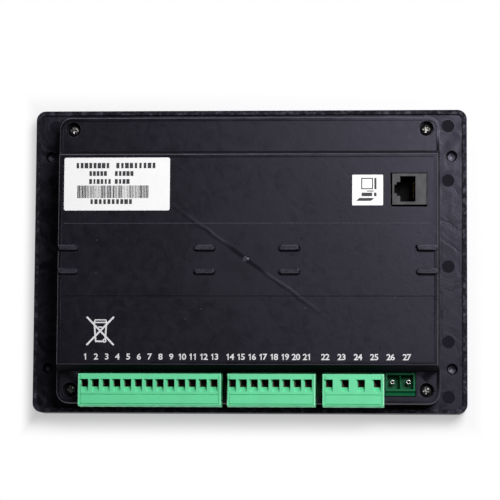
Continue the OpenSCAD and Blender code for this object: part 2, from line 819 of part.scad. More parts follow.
// What is cut from a plug at one pole
module pole_cuts() {
    half = wire_hole_w / 2;
    top_y = wire_y + wire_hole_h / 2;
    span_box([-half, wire_bottom_y, cage_z], [half, top_y, plug_top_z + eps]);
    translate([-half, 0, 0]) rotate([90, 0, 90]) linear_extrude(wire_hole_w)
        polygon([[wire_bottom_y + eps, plug_top_z - ramp_depth], [wire_bottom_y, plug_top_z - ramp_depth],
                 [wire_bottom_y - ramp_run, plug_top_z], [wire_bottom_y - ramp_run, plug_top_z + eps],
                 [wire_bottom_y + eps, plug_top_z + eps]]);
    translate([0, 0, plug_top_z - hole_bevel_depth]) linear_extrude(hole_bevel_depth + eps)
        polygon([[-half - hole_bevel, top_y], [0, top_y], [0, wire_y],
                 [-half, wire_bottom_y + hole_bevel_foot]]);
    translate([0, wire_y, cage_z + cage_h / 2])
        cube([cage_w + fit_gap, cage_d + fit_gap, cage_h + fit_gap], center = true);
    translate([0, plug_front_y - eps, clamp_z]) rotate([-90, 0, 0])
        cylinder(d = clamp_head_d + 2 * fit_gap, h = wire_y - plug_front_y + eps);
    span_box([-contact_room / 2, header_y - contact_room / 2, tongue_z - eps],
             [contact_room / 2, header_y + contact_room / 2 + leaf_room, cage_z + eps]);
}

// Clamp cages with the leaf that bears on the header contact
module clamps(i) {
    leaf_y = header_y + contact_d / 2 + slide_gap;
    color(brass_tone) at_poles(i) translate([0, -header_y, 0]) difference() {
        union() {
            translate([0, wire_y, clamp_z]) cube([cage_w, cage_d, cage_h], center = true);
            span_box([-leaf_w / 2, leaf_y, tongue_z + leaf_inset],
                     [leaf_w / 2, leaf_y + leaf_t, cage_z + leaf_t]);
            span_box([-leaf_w / 2, wire_y, cage_z], [leaf_w / 2, leaf_y + leaf_t, cage_z + leaf_t]);
        }
        translate([0, wire_y, clamp_z + cage_wall])
            cube([cage_w - 2 * cage_wall, cage_d - 2 * cage_wall, cage_h], center = true);
        translate([0, wire_y - cage_d, clamp_z]) rotate([-90, 0, 0])
            cylinder(d = clamp_screw_d + 2 * thread_gap, h = cage_d);
    }
}

// Slotted clamp screws, entered from the front edge of the plugs
module clamp_screws(i) {
    slot_w = 0.6;
    slot_depth = 0.7;
    tip_y = wire_y - cage_d / 2 + cage_wall;
    color(steel_grey) at_poles(i) translate([0, clamp_head_y - header_y, clamp_z]) difference() {
        rotate([-90, 0, 0]) {
            cylinder(d = clamp_head_d, h = clamp_head_h);
            cylinder(d = clamp_screw_d, h = tip_y - clamp_head_y);
        }
        translate([-clamp_head_d, -eps, -slot_w / 2]) cube([2 * clamp_head_d, eps + slot_depth, slot_w]);
    }
}

// Children at the data socket's contact wires
module at_jack_wires() {
    for (k = [0 : jack_wires - 1])
        translate([0, cavity_y + (k - (jack_wires - 1) / 2) * jack_wire_pitch, 0]) children();
}

function jack_wire_x() = cavity_x + jack_cavity_w / 2 - jack_wire_inset;

module data_jack() {
    low = [jack_x - jack_w / 2, jack_y - jack_h / 2, board_top_z];
    color("#3f4043") difference() {
        span_box(low, [jack_x + jack_w / 2, jack_y + jack_h / 2, jack_top_z]);
        span_box([cavity_x - jack_cavity_w / 2, cavity_y - jack_cavity_h / 2, cavity_z],
                 [cavity_x + jack_cavity_w / 2, cavity_y + jack_cavity_h / 2, jack_top_z + eps]);
        for (s = [0, 1]) {
            reach = jack_cavity_w / 2 + latch_d[0] + s * latch_d[1];
            span_box([cavity_x - reach, cavity_y - latch_h[s] / 2, cavity_z + latch_floor],
                     [cavity_x, cavity_y + latch_h[s] / 2, jack_top_z + eps]);
        }
        at_jack_wires() translate([jack_wire_x(), -jack_wire_t, board_top_z - eps])
            cube([jack_wire_t * 2, jack_wire_t * 2, cavity_z - board_top_z + 2 * eps]);
    }
}

// Sprung contact wires: a tail through the board, a riser and a slanted return
module jack_contacts() {
    riser_x = jack_wire_x() + jack_wire_t / 2;
    bend_z = cavity_z + jack_cavity_depth * 0.7;
    lean = 1.5;
    drop = 5.5;
    color(brass_tone) at_jack_wires() translate([0, jack_wire_t / 2, 0]) rotate([90, 0, 0])
        linear_extrude(jack_wire_t)
        polygon([[riser_x, tail_z], [riser_x + jack_wire_t, tail_z], [riser_x + jack_wire_t, bend_z],
                 [riser_x, bend_z], [riser_x - lean, bend_z - drop],
                 [riser_x - lean + jack_wire_t, bend_z - drop], [riser_x, bend_z - jack_wire_t * 2]]);
}

// Children in a row along X on the main board
module on_board(x, y, count, step) {
    for (k = [0 : count - 1]) translate([x + k * step, y, board_top_z]) children();
}

// Output relays behind the wide terminals, each with a raised lid
module relays() {
    size = [15.5, 19, 15.4];
    lid_inset = 1;
    lid_rise = 0.4;
    lid = [size[0] - 2 * lid_inset, size[1] - 2 * lid_inset, size[2] + lid_rise];
    color("#2a57a0") on_board(20, plateau_bottom_y + 30, 3, 19) {
        translate([0, 0, size[2] / 2]) cube(size, center = true);
        translate([0, 0, lid[2] / 2]) cube(lid, center = true);
    }
}

// Supply capacitors with a crimp groove
module capacitors() {
    can_r = 5;
    can_h = 15;
    groove_r = 4.5;
    groove_z = 2.2;
    groove_w = 0.6;
    color("#34343c") on_board(-62, plateau_bottom_y + 27, 3, 13) rotate_extrude()
        polygon([[0, 0], [can_r, 0], [can_r, groove_z - groove_w], [groove_r, groove_z],
                 [can_r, groove_z + groove_w], [can_r, can_h], [0, can_h]]);
}

// Ring choke of the supply
module power_choke() {
    ring_r = 5;
    wind_r = 2.6;
    color("#b0722f") on_board(-20, plateau_bottom_y + 27, 1, 0) translate([0, 0, wind_r])
        rotate_extrude() translate([ring_r, 0]) union() {
            circle(wind_r);
            translate([-wind_r, -wind_r]) square([2 * wind_r, wind_r]);
        }
}

// Finned heat sink that the regulator leans on
module heat_sink() {
    fins = 5;
    fin_pitch = 5;
    fin_len = 9;
    fin_t = 1.4;
    back_t = 2;
    back_w = (fins - 1) * fin_pitch + back_t;
    sink_h = 16;
    color("#9a9da1") on_board(sink_x - back_w / 2, sink_y, 1, 0) linear_extrude(sink_h) {
        square([back_w, back_t]);
        for (k = [0 : fins - 1]) translate([k * fin_pitch, 0]) square([fin_t, fin_len]);
    }
}

module voltage_regulator() {
    body = [10, 4.4, 9];
    tab = [10, 1.3, 6];
    tab_hole_d = 3.4;
    color(chip_black) on_board(sink_x - body[0] / 2, sink_y - body[1], 1, 0) difference() {
        union() {
            cube(body);
            translate([0, body[1] - tab[1], body[2] - eps]) cube([tab[0], tab[1], tab[2] + eps]);
        }
        translate([tab[0] / 2, 0, body[2] + tab[2] / 2]) rotate([-90, 0, 0])
            cylinder(d = tab_hole_d, h = body[1] + eps);
    }
}

// Flat-pack processor with its row of legs on each side
module processor() {
    side = 14;
    body_t = 1.4;
    stand = 0.1;
    leg_pitch = 1;
    legs = 12;
    leg = [1.2, 0.4, 0.4];
    leg_x = side / 2 - leg[1] / 2;
    color(chip_black) on_board(-12, 18, 1, 0) {
        translate([-side / 2, -side / 2, stand]) cube([side, side, body_t]);
        for (a = [0, 90, 180, 270], k = [0 : legs - 1]) rotate(a)
            translate([leg_x, (k - (legs - 1) / 2) * leg_pitch - leg[1] / 2, 0]) cube(leg);
    }
}

// Metal-can crystal beside the processor
module clock_crystal() {
    can_len = 10.4;
    can_w = 4.2;
    can_h = 3.4;
    color(steel_grey) on_board(6, 18, 1, 0) rotate(90) linear_extrude(can_h) {
        square([can_len - can_w, can_w], center = true);
        for (s = [-1, 1]) translate([s * (can_len - can_w) / 2, 0]) circle(d = can_w);
    }
}

// Small current transformers of the measuring inputs
module current_transformers() {
    case_size = [14, 12, 15];
    bore_d = 5;
    color("#c9c4b4") on_board(16, 12, 3, 17) translate([0, 0, case_size[2] / 2]) difference() {
        cube(case_size, center = true);
        translate([0, -case_size[1], 0]) rotate([-90, 0, 0]) cylinder(d = bore_d, h = 2 * case_size[1]);
    }
}

// Surge-limiting discs standing behind the headers
module surge_discs() {
    disc_d = 10;
    disc_t = 4;
    color("#2f62b5") on_board(18, plateau_bottom_y + 11, 4, 14) translate([0, 0, disc_d / 2])
        rotate([90, 0, 0]) cylinder(d = disc_d, h = disc_t);
}

front_bezel();
front_panel();
fascia_film();
display_lens();
display_frame();
display_glass();
key(0);  // key_stop
key(1);  // key_manual
key(2);  // key_auto
key(3);  // key_start
key(4);  // key_page
key_switches();
status_lamps();
display_board();
display_board_screws();
main_board();
main_board_screws();
board_link();
rear_cover();
cover_screws();
rating_label();
socket_label();
header(0);  // header_1
header(1);  // header_2
header(2);  // header_3
header(3);  // header_spare
contacts(0);  // contacts_1
contacts(1);  // contacts_2
contacts(2);  // contacts_3
contacts(3);  // contacts_spare
plug(0);  // plug_1
plug(1);  // plug_2
plug(2);  // plug_3
clamps(0);  // clamps_1
clamps(1);  // clamps_2
clamps(2);  // clamps_3
clamp_screws(0);  // clamp_screws_1
clamp_screws(1);  // clamp_screws_2
clamp_screws(2);  // clamp_screws_3
data_jack();
jack_contacts();
relays();
capacitors();
power_choke();
heat_sink();
voltage_regulator();
processor();
clock_crystal();
current_transformers();
surge_discs();
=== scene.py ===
"""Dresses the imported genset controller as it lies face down, rear upwards, on a pale studio floor."""

import math

import bmesh
import bpy
from mathutils import Matrix, Vector


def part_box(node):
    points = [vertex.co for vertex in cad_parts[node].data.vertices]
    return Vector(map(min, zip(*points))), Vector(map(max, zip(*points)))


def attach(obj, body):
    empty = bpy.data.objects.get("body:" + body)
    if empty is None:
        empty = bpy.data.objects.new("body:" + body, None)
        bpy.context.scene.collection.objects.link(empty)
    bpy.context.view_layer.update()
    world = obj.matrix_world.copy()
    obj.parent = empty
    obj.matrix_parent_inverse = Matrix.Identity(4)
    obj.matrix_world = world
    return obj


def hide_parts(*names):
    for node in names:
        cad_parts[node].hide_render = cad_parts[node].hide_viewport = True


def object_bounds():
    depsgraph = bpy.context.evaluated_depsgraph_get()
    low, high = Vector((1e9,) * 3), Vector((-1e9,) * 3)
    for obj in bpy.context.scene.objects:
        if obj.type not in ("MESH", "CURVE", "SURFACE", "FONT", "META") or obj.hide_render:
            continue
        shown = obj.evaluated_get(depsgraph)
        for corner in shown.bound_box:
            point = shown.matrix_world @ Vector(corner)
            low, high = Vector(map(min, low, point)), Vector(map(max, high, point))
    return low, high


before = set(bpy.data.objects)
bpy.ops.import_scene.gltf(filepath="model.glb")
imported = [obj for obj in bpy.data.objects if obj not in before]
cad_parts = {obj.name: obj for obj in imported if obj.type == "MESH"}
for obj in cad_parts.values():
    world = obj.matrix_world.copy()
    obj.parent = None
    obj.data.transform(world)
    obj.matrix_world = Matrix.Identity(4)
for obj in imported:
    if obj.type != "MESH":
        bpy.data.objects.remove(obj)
CAD_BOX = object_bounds()

bl_info = {
    "name": "Genset controller dressing",
    "version": (1, 0, 0),
    "blender": (4, 5, 0),
    "location": "3D View > Sidebar > Genset",
    "description": "Finishes, print, labels and studio for the packed genset controller",
    "category": "Object",
}

MM = 0.001
BODY = "casing"
KEY_BODIES = ("stop", "manual", "auto", "start", "page")
PLUGS = (1, 2, 3)

# Heights of the cover and the bezel in the frame
EJECTOR_MARK = 12.45 * MM
RIM_FOOT = 13.4 * MM
LOW_STEP = 24.5 * MM
SLOPE_FOOT = 24.6 * MM
BAND_FOOT = 33.6 * MM
GATE_FLOOR = 33.75 * MM
BAND_EDGE = 33.9 * MM
PLATEAU_LIP = 34.0 * MM
RIB_TOP = 35.2 * MM

# The flange's four blind fixing holes: their middle, their places from it, and the part of their bottoms with a
# painted highlight
HOLES_MIDDLE_Y = -0.5 * MM
HOLE_PLACE = (96.49 * MM, 51 * MM)
HOLE_HIGHLIGHT_RADIUS = 1.9 * MM
HOLE_HIGHLIGHT_SPAN = (7 * MM, 10.7 * MM)

# How near a vertex, a face or a rounding has to be to its level
EDGE_TOLERANCE = 0.03 * MM
FACE_TOLERANCE = 0.04 * MM
ROUNDING_TOLERANCE = 0.02 * MM

# Upward part of the normal of a wall (at most), of a level face (at least) and of a rounding (between)
WALL_NORMAL = 0.8
LEVEL_NORMAL = 0.99
ROUNDING_NORMALS = (0.15, 0.985)

# Vertices nearer than this are one, flatter folds aren't edges, and sharper ones are rounded
MERGE_DISTANCE = 1e-6
FLAT_FOLD = math.radians(0.5)
SHARP_FOLD = math.radians(32)


# Shared helpers

def linear(code):
    """Linear colour of an sRGB hex value."""
    parts = [int(code[i:i + 2], 16) / 255 for i in (0, 2, 4)]
    return tuple(c / 12.92 if c <= 0.04045 else ((c + 0.055) / 1.055) ** 2.4 for c in parts)


def opaque(colour):
    """Colour with full alpha, as a node socket takes it."""
    return (*colour[:3], 1.0)


def per_mm(size):
    """Texture scale of a pattern whose cells are that many millimetres wide."""
    return 1.0 / (size * MM)


def dimmed(colour, share):
    """Colour times a share."""
    return [c * share for c in colour]


def set_inputs(tree, node, inputs):
    """Inputs of a node by name or number: values, sockets to link, or nodes whose first output is linked.

    By number, Map Range takes its value, the two ends that it comes from and the two that it goes to, and Mix
    takes its share, two numbers (2 and 3) or two colours (6 and 7).
    """
    for key, value in inputs.items():
        if isinstance(value, bpy.types.Node):
            value = value.outputs[0]
        if isinstance(value, bpy.types.NodeSocket):
            tree.links.new(value, node.inputs[key])
        else:
            node.inputs[key].default_value = value


def add_node(tree, kind, inputs=None, **settings):
    """One node with its settings and its inputs."""
    node = tree.nodes.new(kind)
    for key, value in settings.items():
        setattr(node, key, value)
    set_inputs(tree, node, inputs or {})
    return node


def new_surface(name, sockets):
    """Empty material with its tree, its object coordinates and its shader."""
    material = bpy.data.materials.new(name)
    material.use_nodes = True
    tree = material.node_tree
    tree.nodes.clear()
    place = add_node(tree, "ShaderNodeTexCoord").outputs["Object"]
    shader = add_node(tree, "ShaderNodeBsdfPrincipled", sockets)
    add_node(tree, "ShaderNodeOutputMaterial", {"Surface": shader})
    return material, tree, place, shader


# Noise levels between which clouds and mottle change, and how far clouds change the roughness
CLOUD_LEVELS = (0.3, 0.7)
CLOUD_GLOSS = 0.05
# A metal's drawn lines: width in mm, depth, and how far they change the roughness
LINE_WIDTH = 0.5
LINE_DEPTH = 0.004 * MM
LINE_GLOSS = 0.08


def grained(name, colour, shade, roughness, grain, depth, cloud, **sockets):
    """Moulded or coated surface: cloudy between two tones, with a fine grain of that width and depth in mm.

    Real grain is mostly too fine to show, so the widths are drawn coarser.
    """
    material, tree, place, shader = new_surface(name, sockets)
    low, high = CLOUD_LEVELS
    clouds = add_node(tree, "ShaderNodeTexNoise", {"Vector": place, "Scale": per_mm(cloud), "Detail": 4.0})
    tone = add_node(tree, "ShaderNodeMapRange", {0: clouds, 1: low, 2: high})
    mix = add_node(tree, "ShaderNodeMix", {0: tone, 6: opaque(colour), 7: opaque(shade)}, data_type="RGBA")
    gloss = add_node(tree, "ShaderNodeMapRange",
                     {0: clouds, 1: low, 2: high, 3: roughness - CLOUD_GLOSS, 4: roughness + CLOUD_GLOSS})
    fine = add_node(tree, "ShaderNodeTexNoise", {"Vector": place, "Scale": per_mm(grain), "Detail": 3.0})
    bump = add_node(tree, "ShaderNodeBump", {"Height": fine, "Distance": depth * MM, "Strength": 0.6})
    set_inputs(tree, shader, {"Base Color": mix.outputs[2], "Roughness": gloss, "Normal": bump})
    return material, tree, place, shader


def moulded(*finish, **sockets):
    """Material of a grained surface that needs no more nodes."""
    return grained(*finish, **sockets)[0]


def plastic(name, code, shade, roughness, grain=0.4, depth=0.01, cloud=12, **sockets):
    """Plain moulded plastic in two close tones."""
    return moulded(name, linear(code), linear(shade), roughness, grain, depth, cloud, **sockets)


def worn_metal(name, code, shade, roughness, stretch):
    """Metal with drawn lines, stretched along one axis; they are drawn coarser than the real ones, to show."""
    material, tree, place, shader = new_surface(name, {"Metallic": 1.0})
    lines = add_node(tree, "ShaderNodeMapping", {"Vector": place, "Scale": stretch})
    noise = add_node(tree, "ShaderNodeTexNoise", {"Vector": lines, "Scale": per_mm(LINE_WIDTH), "Detail": 4.0})
    mix = add_node(tree, "ShaderNodeMix",
                   {0: noise, 6: opaque(linear(code)), 7: opaque(linear(shade))}, data_type="RGBA")
    gloss = add_node(tree, "ShaderNodeMapRange",
                     {0: noise, 3: roughness - LINE_GLOSS, 4: roughness + LINE_GLOSS})
    bump = add_node(tree, "ShaderNodeBump", {"Height": noise, "Distance": LINE_DEPTH, "Strength": 0.5})
    set_inputs(tree, shader, {"Base Color": mix.outputs[2], "Roughness": gloss, "Normal": bump})
    return material


def new_object(name, mesh):
    """Object with that mesh, linked to the scene."""
    piece = bpy.data.objects.new(name, mesh)
    bpy.context.scene.collection.objects.link(piece)
    return piece


def apply_modifiers(piece):
    """The piece's evaluated shape becomes its plain mesh."""
    graph = bpy.context.evaluated_depsgraph_get()
    mesh = bpy.data.meshes.new_from_object(piece.evaluated_get(graph), depsgraph=graph)
    piece.modifiers.clear()
    old = piece.data
    piece.data = mesh
    bpy.data.meshes.remove(old)
    piece.data.name = piece.name


def is_outer(edge, z):
    """True for an edge at that height whose side falls away from the middle of the object."""
    a, b = (v.co for v in edge.verts)
    if max(abs(a.z - z), abs(b.z - z)) > EDGE_TOLERANCE:
        return False
    middle = ((a + b) / 2).xy
    return any(abs(f.normal.z) < WALL_NORMAL and f.normal.xy.dot(middle) > 0 for f in edge.link_faces)


def is_on_side(point, box, margin):
    """True for a point that lies within that margin of an upright side of a box."""
    return min(abs(point[axis] - corner[axis]) for corner in box for axis in (0, 1)) < margin


def softened(node, radius, segments=2, levels=None, rim=None):
    """Merged copy of a CAD node with its edges rounded.

    Edges round the outside of a level take the level's own radius. With a rim, a box, only those on the box's
    upright sides do.
    """
    levels = levels or {}
    shape = bmesh.new()
    shape.from_mesh(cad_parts[node].data)
    bmesh.ops.remove_doubles(shape, verts=shape.verts, dist=MERGE_DISTANCE)
    bmesh.ops.join_triangles(shape, faces=shape.faces, angle_face_threshold=FLAT_FOLD,
                             angle_shape_threshold=math.pi)
    for face in shape.faces:
        face.smooth = True
    widest = max(radius, *levels.values()) if levels else radius
    weights = shape.edges.layers.float.new("bevel_weight_edge")
    for edge in shape.edges:
        if len(edge.link_faces) == 2 and edge.calc_face_angle() > SHARP_FOLD:
            if edge.is_convex:
                at_rim = rim is None or all(is_on_side(v.co, rim, ROUNDING_TOLERANCE) for v in edge.verts)
                own = [r for z, r in levels.items() if at_rim and is_outer(edge, z)]
                edge[weights] = (own[0] if own else radius) / widest
            else:
                edge.smooth = False
    mesh = bpy.data.meshes.new(node + "_finished")
    shape.to_mesh(mesh)
    shape.free()
    if "custom_normal" in mesh.attributes:
        mesh.attributes.remove(mesh.attributes["custom_normal"])
    piece = new_object(node + "_finished", mesh)
    bevel = piece.modifiers.new("edge radius", "BEVEL")
    bevel.width = widest
    bevel.segments = segments
    bevel.limit_method = "WEIGHT"
    bevel.use_clamp_overlap = False
    bevel.face_strength_mode = "FSTR_ALL"
    flat = piece.modifiers.new("flat faces", "WEIGHTED_NORMAL")
    flat.use_face_influence = True
    flat.keep_sharp = True
    apply_modifiers(piece)
    return piece


def dress(piece, material, body, slot, *nodes):
    """The piece gets its material, rides on its body and stands for its nodes. The slot is not used."""
    piece.data.materials.clear()
    piece.data.materials.append(material)
    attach(piece, body)
    if nodes:
        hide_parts(*nodes)
    return piece


def finish_faces(piece, material, wanted):
    """The piece's faces that pass a test get a material of their own."""
    piece.data.materials.append(material)
    last = len(piece.data.materials) - 1
    for face in piece.data.polygons:
        if wanted(face):
            face.material_index = last


def is_level(face, levels):
    """True for a flat face that looks up at one of those heights."""
    return face.normal.z > LEVEL_NORMAL and any(abs(face.center.z - z) < FACE_TOLERANCE for z in levels)


def is_rounding(face, levels, rim=None):
    """True for a strip of the rounding on a level's outer edge, or on the upright sides of a rim, a box."""
    if not ROUNDING_NORMALS[0] < face.normal.z < ROUNDING_NORMALS[1]:
        return False
    if rim is None:
        outside = face.normal.xy.dot(face.center.xy) > 0
    else:
        outside = is_on_side(face.center, rim, max(levels.values()))
    return outside and any(z - r - ROUNDING_TOLERANCE < face.center.z < z for z, r in levels.items())


def is_hole_bottom(face):
    """True in the middle of the flange's four blind fixing holes, below their upright wall."""
    x = abs(face.center.x) - HOLE_PLACE[0]
    y = abs(face.center.y - HOLES_MIDDLE_Y) - HOLE_PLACE[1]
    return math.hypot(x, y) < HOLE_HIGHLIGHT_RADIUS and HOLE_HIGHLIGHT_SPAN[0] < face.center.z < HOLE_HIGHLIGHT_SPAN[1]


def finish_node(node, material):
    """A CAD node that stays as it is gets its material."""
    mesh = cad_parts[node].data
    mesh.materials.clear()
    mesh.materials.append(material)


# Print and labels: thin flat shapes

def add_outline(shape, points, z, height):
    """Closed plate with that outline, its lower face at z."""
    low = [shape.verts.new((x, y, z)) for x, y in points]
    high = [shape.verts.new((x, y, z + height)) for x, y in points]
    shape.faces.new(high)
    shape.faces.new(low[::-1])
    count = len(points)
    for i in range(count):
        j = (i + 1) % count
        shape.faces.new((low[i], low[j], high[j], high[i]))


def add_stroke(shape, start, end, width, z, height):
    """Printed line with round ends."""
    a, b = Vector(start), Vector(end)
    heading = math.atan2(b.y - a.y, b.x - a.x)
    steps = 7
    points = []
    for centre, turn in ((b, -0.5), (a, 0.5)):
        for i in range(steps):
            angle = heading + math.pi * (turn + i / (steps - 1))
            points.append((centre.x + width / 2 * math.cos(angle), centre.y + width / 2 * math.sin(angle)))
    add_outline(shape, points, z, height)


def add_ring(shape, centre, outer, inner, z, height, start=0.0, sweep=math.tau):
    """Printed ring or arc."""
    steps = 32
    closed = sweep >= math.tau
    rows = []
    for i in range(steps if closed else steps + 1):
        angle = start + sweep * i / steps
        c, s = math.cos(angle), math.sin(angle)
        rows.append([shape.verts.new((centre[0] + r * c, centre[1] + r * s, h))
                     for r, h in ((inner, z), (outer, z), (outer, z + height), (inner, z + height))])
    for a, b in zip(rows, rows[1:] + rows[:1] if closed else rows[1:]):
        for k in range(4):
            m = (k + 1) % 4
            shape.faces.new((a[k], a[m], b[m], b[k]))
    if not closed:
        shape.faces.new(rows[0][::-1])
        shape.faces.new(rows[-1])


def print_mesh(name, shape):
    """Object from print shapes, its faces pointing outwards."""
    bmesh.ops.recalc_face_normals(shape, faces=shape.faces)
    mesh = bpy.data.meshes.new(name)
    shape.to_mesh(mesh)
    shape.free()
    return new_object(name, mesh)


def label_plate(node, corner):
    """Plate in a label's box, with round corners."""
    low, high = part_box(node)
    steps = 6
    points = []
    for x, y, turn in ((high.x - corner, high.y - corner, 0.0), (low.x + corner, high.y - corner, 0.5),
                       (low.x + corner, low.y + corner, 1.0), (high.x - corner, low.y + corner, 1.5)):
        for i in range(steps + 1):
            angle = math.pi * (turn + 0.5 * i / steps)
            points.append((x + corner * math.cos(angle), y + corner * math.sin(angle)))
    shape = bmesh.new()
    add_outline(shape, points, low.z, high.z - low.z)
    return print_mesh(node + "_plate", shape)


# Outline of the figure one, with a flag, for a height of 1, and the spacing, widening and boldness of the figures
ONE = ((-0.03, 0.0), (0.14, 0.0), (0.14, 1.0), (0.02, 1.0), (-0.22, 0.8), (-0.22, 0.63), (-0.03, 0.74))
FIGURE_STEP = 0.66
FIGURE_WIDENING = 1.08
FIGURE_BOLDNESS = 0.02


def figure_mesh(figure):
    """Bold figure of the built-in face as a flat mesh of unit thickness."""
    curve = bpy.data.curves.new("figure", "FONT")
    curve.body = figure
    curve.offset = FIGURE_BOLDNESS
    curve.resolution_u = 4
    curve.extrude = 0.5
    piece = new_object("figure", curve)
    graph = bpy.context.evaluated_depsgraph_get()
    mesh = bpy.data.meshes.new_from_object(piece.evaluated_get(graph), depsgraph=graph)
    bpy.data.objects.remove(piece)
    bpy.data.curves.remove(curve)
    return mesh


def add_number(shape, text, centre, height, z, thickness):
    """Upright figures of a plain face, centred, added to a print shape."""
    step = FIGURE_STEP * height
    for k, figure in enumerate(text):
        x = centre[0] + (k - (len(text) - 1) / 2) * step
        if figure == "1":
            points = [(x + px * height, centre[1] + (py - 0.5) * height) for px, py in ONE]
            add_outline(shape, points, z, thickness)
            continue
        mesh = figure_mesh(figure)
        xs, ys = ([v.co[axis] for v in mesh.vertices] for axis in (0, 1))
        scale = height / (max(ys) - min(ys))
        mesh.transform(Matrix.Translation((x, centre[1], z + thickness / 2))
                       @ Matrix.Diagonal((scale * FIGURE_WIDENING, scale, thickness, 1.0))
                       @ Matrix.Translation((-(max(xs) + min(xs)) / 2, -(max(ys) + min(ys)) / 2, 0)))
        shape.from_mesh(mesh)
        bpy.data.meshes.remove(mesh)


BAR_ROW_INPUTS = {
    "Bars": "NodeSocketInt", "Start": "NodeSocketVector", "Pitch": "NodeSocketFloat",
    "Height": "NodeSocketFloat", "Thickness": "NodeSocketFloat",
    "Thinnest": "NodeSocketFloat", "Widest": "NodeSocketFloat",
    "Seed": "NodeSocketInt", "Ink": "NodeSocketMaterial"}


def bar_row_tree():
    """Geometry nodes for a row of printed bars with seeded widths, as in a bar code or a blanked line."""
    tree = bpy.data.node_groups.new("printed bar row", "GeometryNodeTree")
    tree.interface.new_socket("Geometry", in_out="OUTPUT", socket_type="NodeSocketGeometry")
    for name, kind in BAR_ROW_INPUTS.items():
        tree.interface.new_socket(name, in_out="INPUT", socket_type=kind)
    given = add_node(tree, "NodeGroupInput").outputs
    step = add_node(tree, "ShaderNodeCombineXYZ", {"X": given["Pitch"]})
    row = add_node(tree, "GeometryNodeMeshLine",
                   {"Count": given["Bars"], "Start Location": given["Start"], "Offset": step})
    share = add_node(tree, "FunctionNodeRandomValue",
                     {2: given["Thinnest"], 3: given["Widest"], "Seed": given["Seed"]}, data_type="FLOAT")
    width = add_node(tree, "ShaderNodeMath", {0: share.outputs[1], 1: given["Pitch"]}, operation="MULTIPLY")
    size = add_node(tree, "ShaderNodeCombineXYZ", {"X": width, "Y": given["Height"], "Z": given["Thickness"]})
    bar = add_node(tree, "GeometryNodeMeshCube", {"Size": (1.0, 1.0, 1.0)})
    placed = add_node(tree, "GeometryNodeInstanceOnPoints", {"Points": row, "Instance": bar, "Scale": size})
    solid = add_node(tree, "GeometryNodeRealizeInstances", {0: placed})
    inked = add_node(tree, "GeometryNodeSetMaterial", {"Geometry": solid, "Material": given["Ink"]})
    add_node(tree, "NodeGroupOutput", {0: inked})
    return tree


def bar_row(tree, name, values):
    """One printed bar row as a plain mesh."""
    piece = new_object(name, bpy.data.meshes.new(name))
    rows = piece.modifiers.new("bars", "NODES")
    rows.node_group = tree
    sockets = {item.name: item.identifier for item in tree.interface.items_tree if item.in_out == "INPUT"}
    for key, value in values.items():
        rows[sockets[key]] = value
    apply_modifiers(piece)
    return piece


# Materials

def abs_sockets(level=0.35):
    """Faint lilac tint of black ABS in reflections: stronger off a polished tool, weaker off a coarse one."""
    return {"Specular Tint": opaque(linear("e0dcf8")), "Specular IOR Level": level}


ABS = abs_sockets()

# Ridge of the cover: its turn and offset, sway, width, height, and where it fades out along its length
RIDGE_TURN = math.radians(36.0)
RIDGE_OFFSET = 1.05 * MM
RIDGE_SWAY = 1.0 * MM
RIDGE_WIDTH = 1.4 * MM
RIDGE_HEIGHT = 0.085 * MM
RIDGE_FADE = (22 * MM, 48 * MM)
# Dull seam on the ridge and dull patches round the gate: where they fade out
SEAM_FADE = (8 * MM, 15 * MM)
SEAM_EDGE = (0.4 * MM, 1.7 * MM)
PATCH_FADE = (5 * MM, 34 * MM)
DULL_ROUGHNESS = 0.95
# Mottle of the cover and swirls of the bezel's flange: depth, and how far they change the roughness
MOTTLE_DEPTH = 0.06 * MM
MOTTLE_GLOSS = 0.07
SWIRL_DEPTH = 0.14 * MM
SWIRL_GLOSS = (-0.12, 0.18)

# Steps, in mm, that fold the eight ribs onto one and leave the offset from its middle line. The ribs lie 20 and
# 84.65 mm from the middle of the cover, and the first step also sets the painted shadow 0.45 mm lower than the
# ribs.
RIB_FOLDS = (("ADD", (0, 1.78, 0)), ("ABSOLUTE", (0, 0, 0)), ("SUBTRACT", (52.325, 5.55, 0)),
             ("ABSOLUTE", (0, 0, 0)), ("SUBTRACT", (32.325, 0, 0)), ("ABSOLUTE", (0, 0, 0)),
             ("SUBTRACT", (3.65, 0, 0)), ("MAXIMUM", (0, 0, 0)), ("MINIMUM", (1000, 1000, 0)))
RIB_PAINTED_SHADOW = (1.3 * MM, 2.1 * MM)


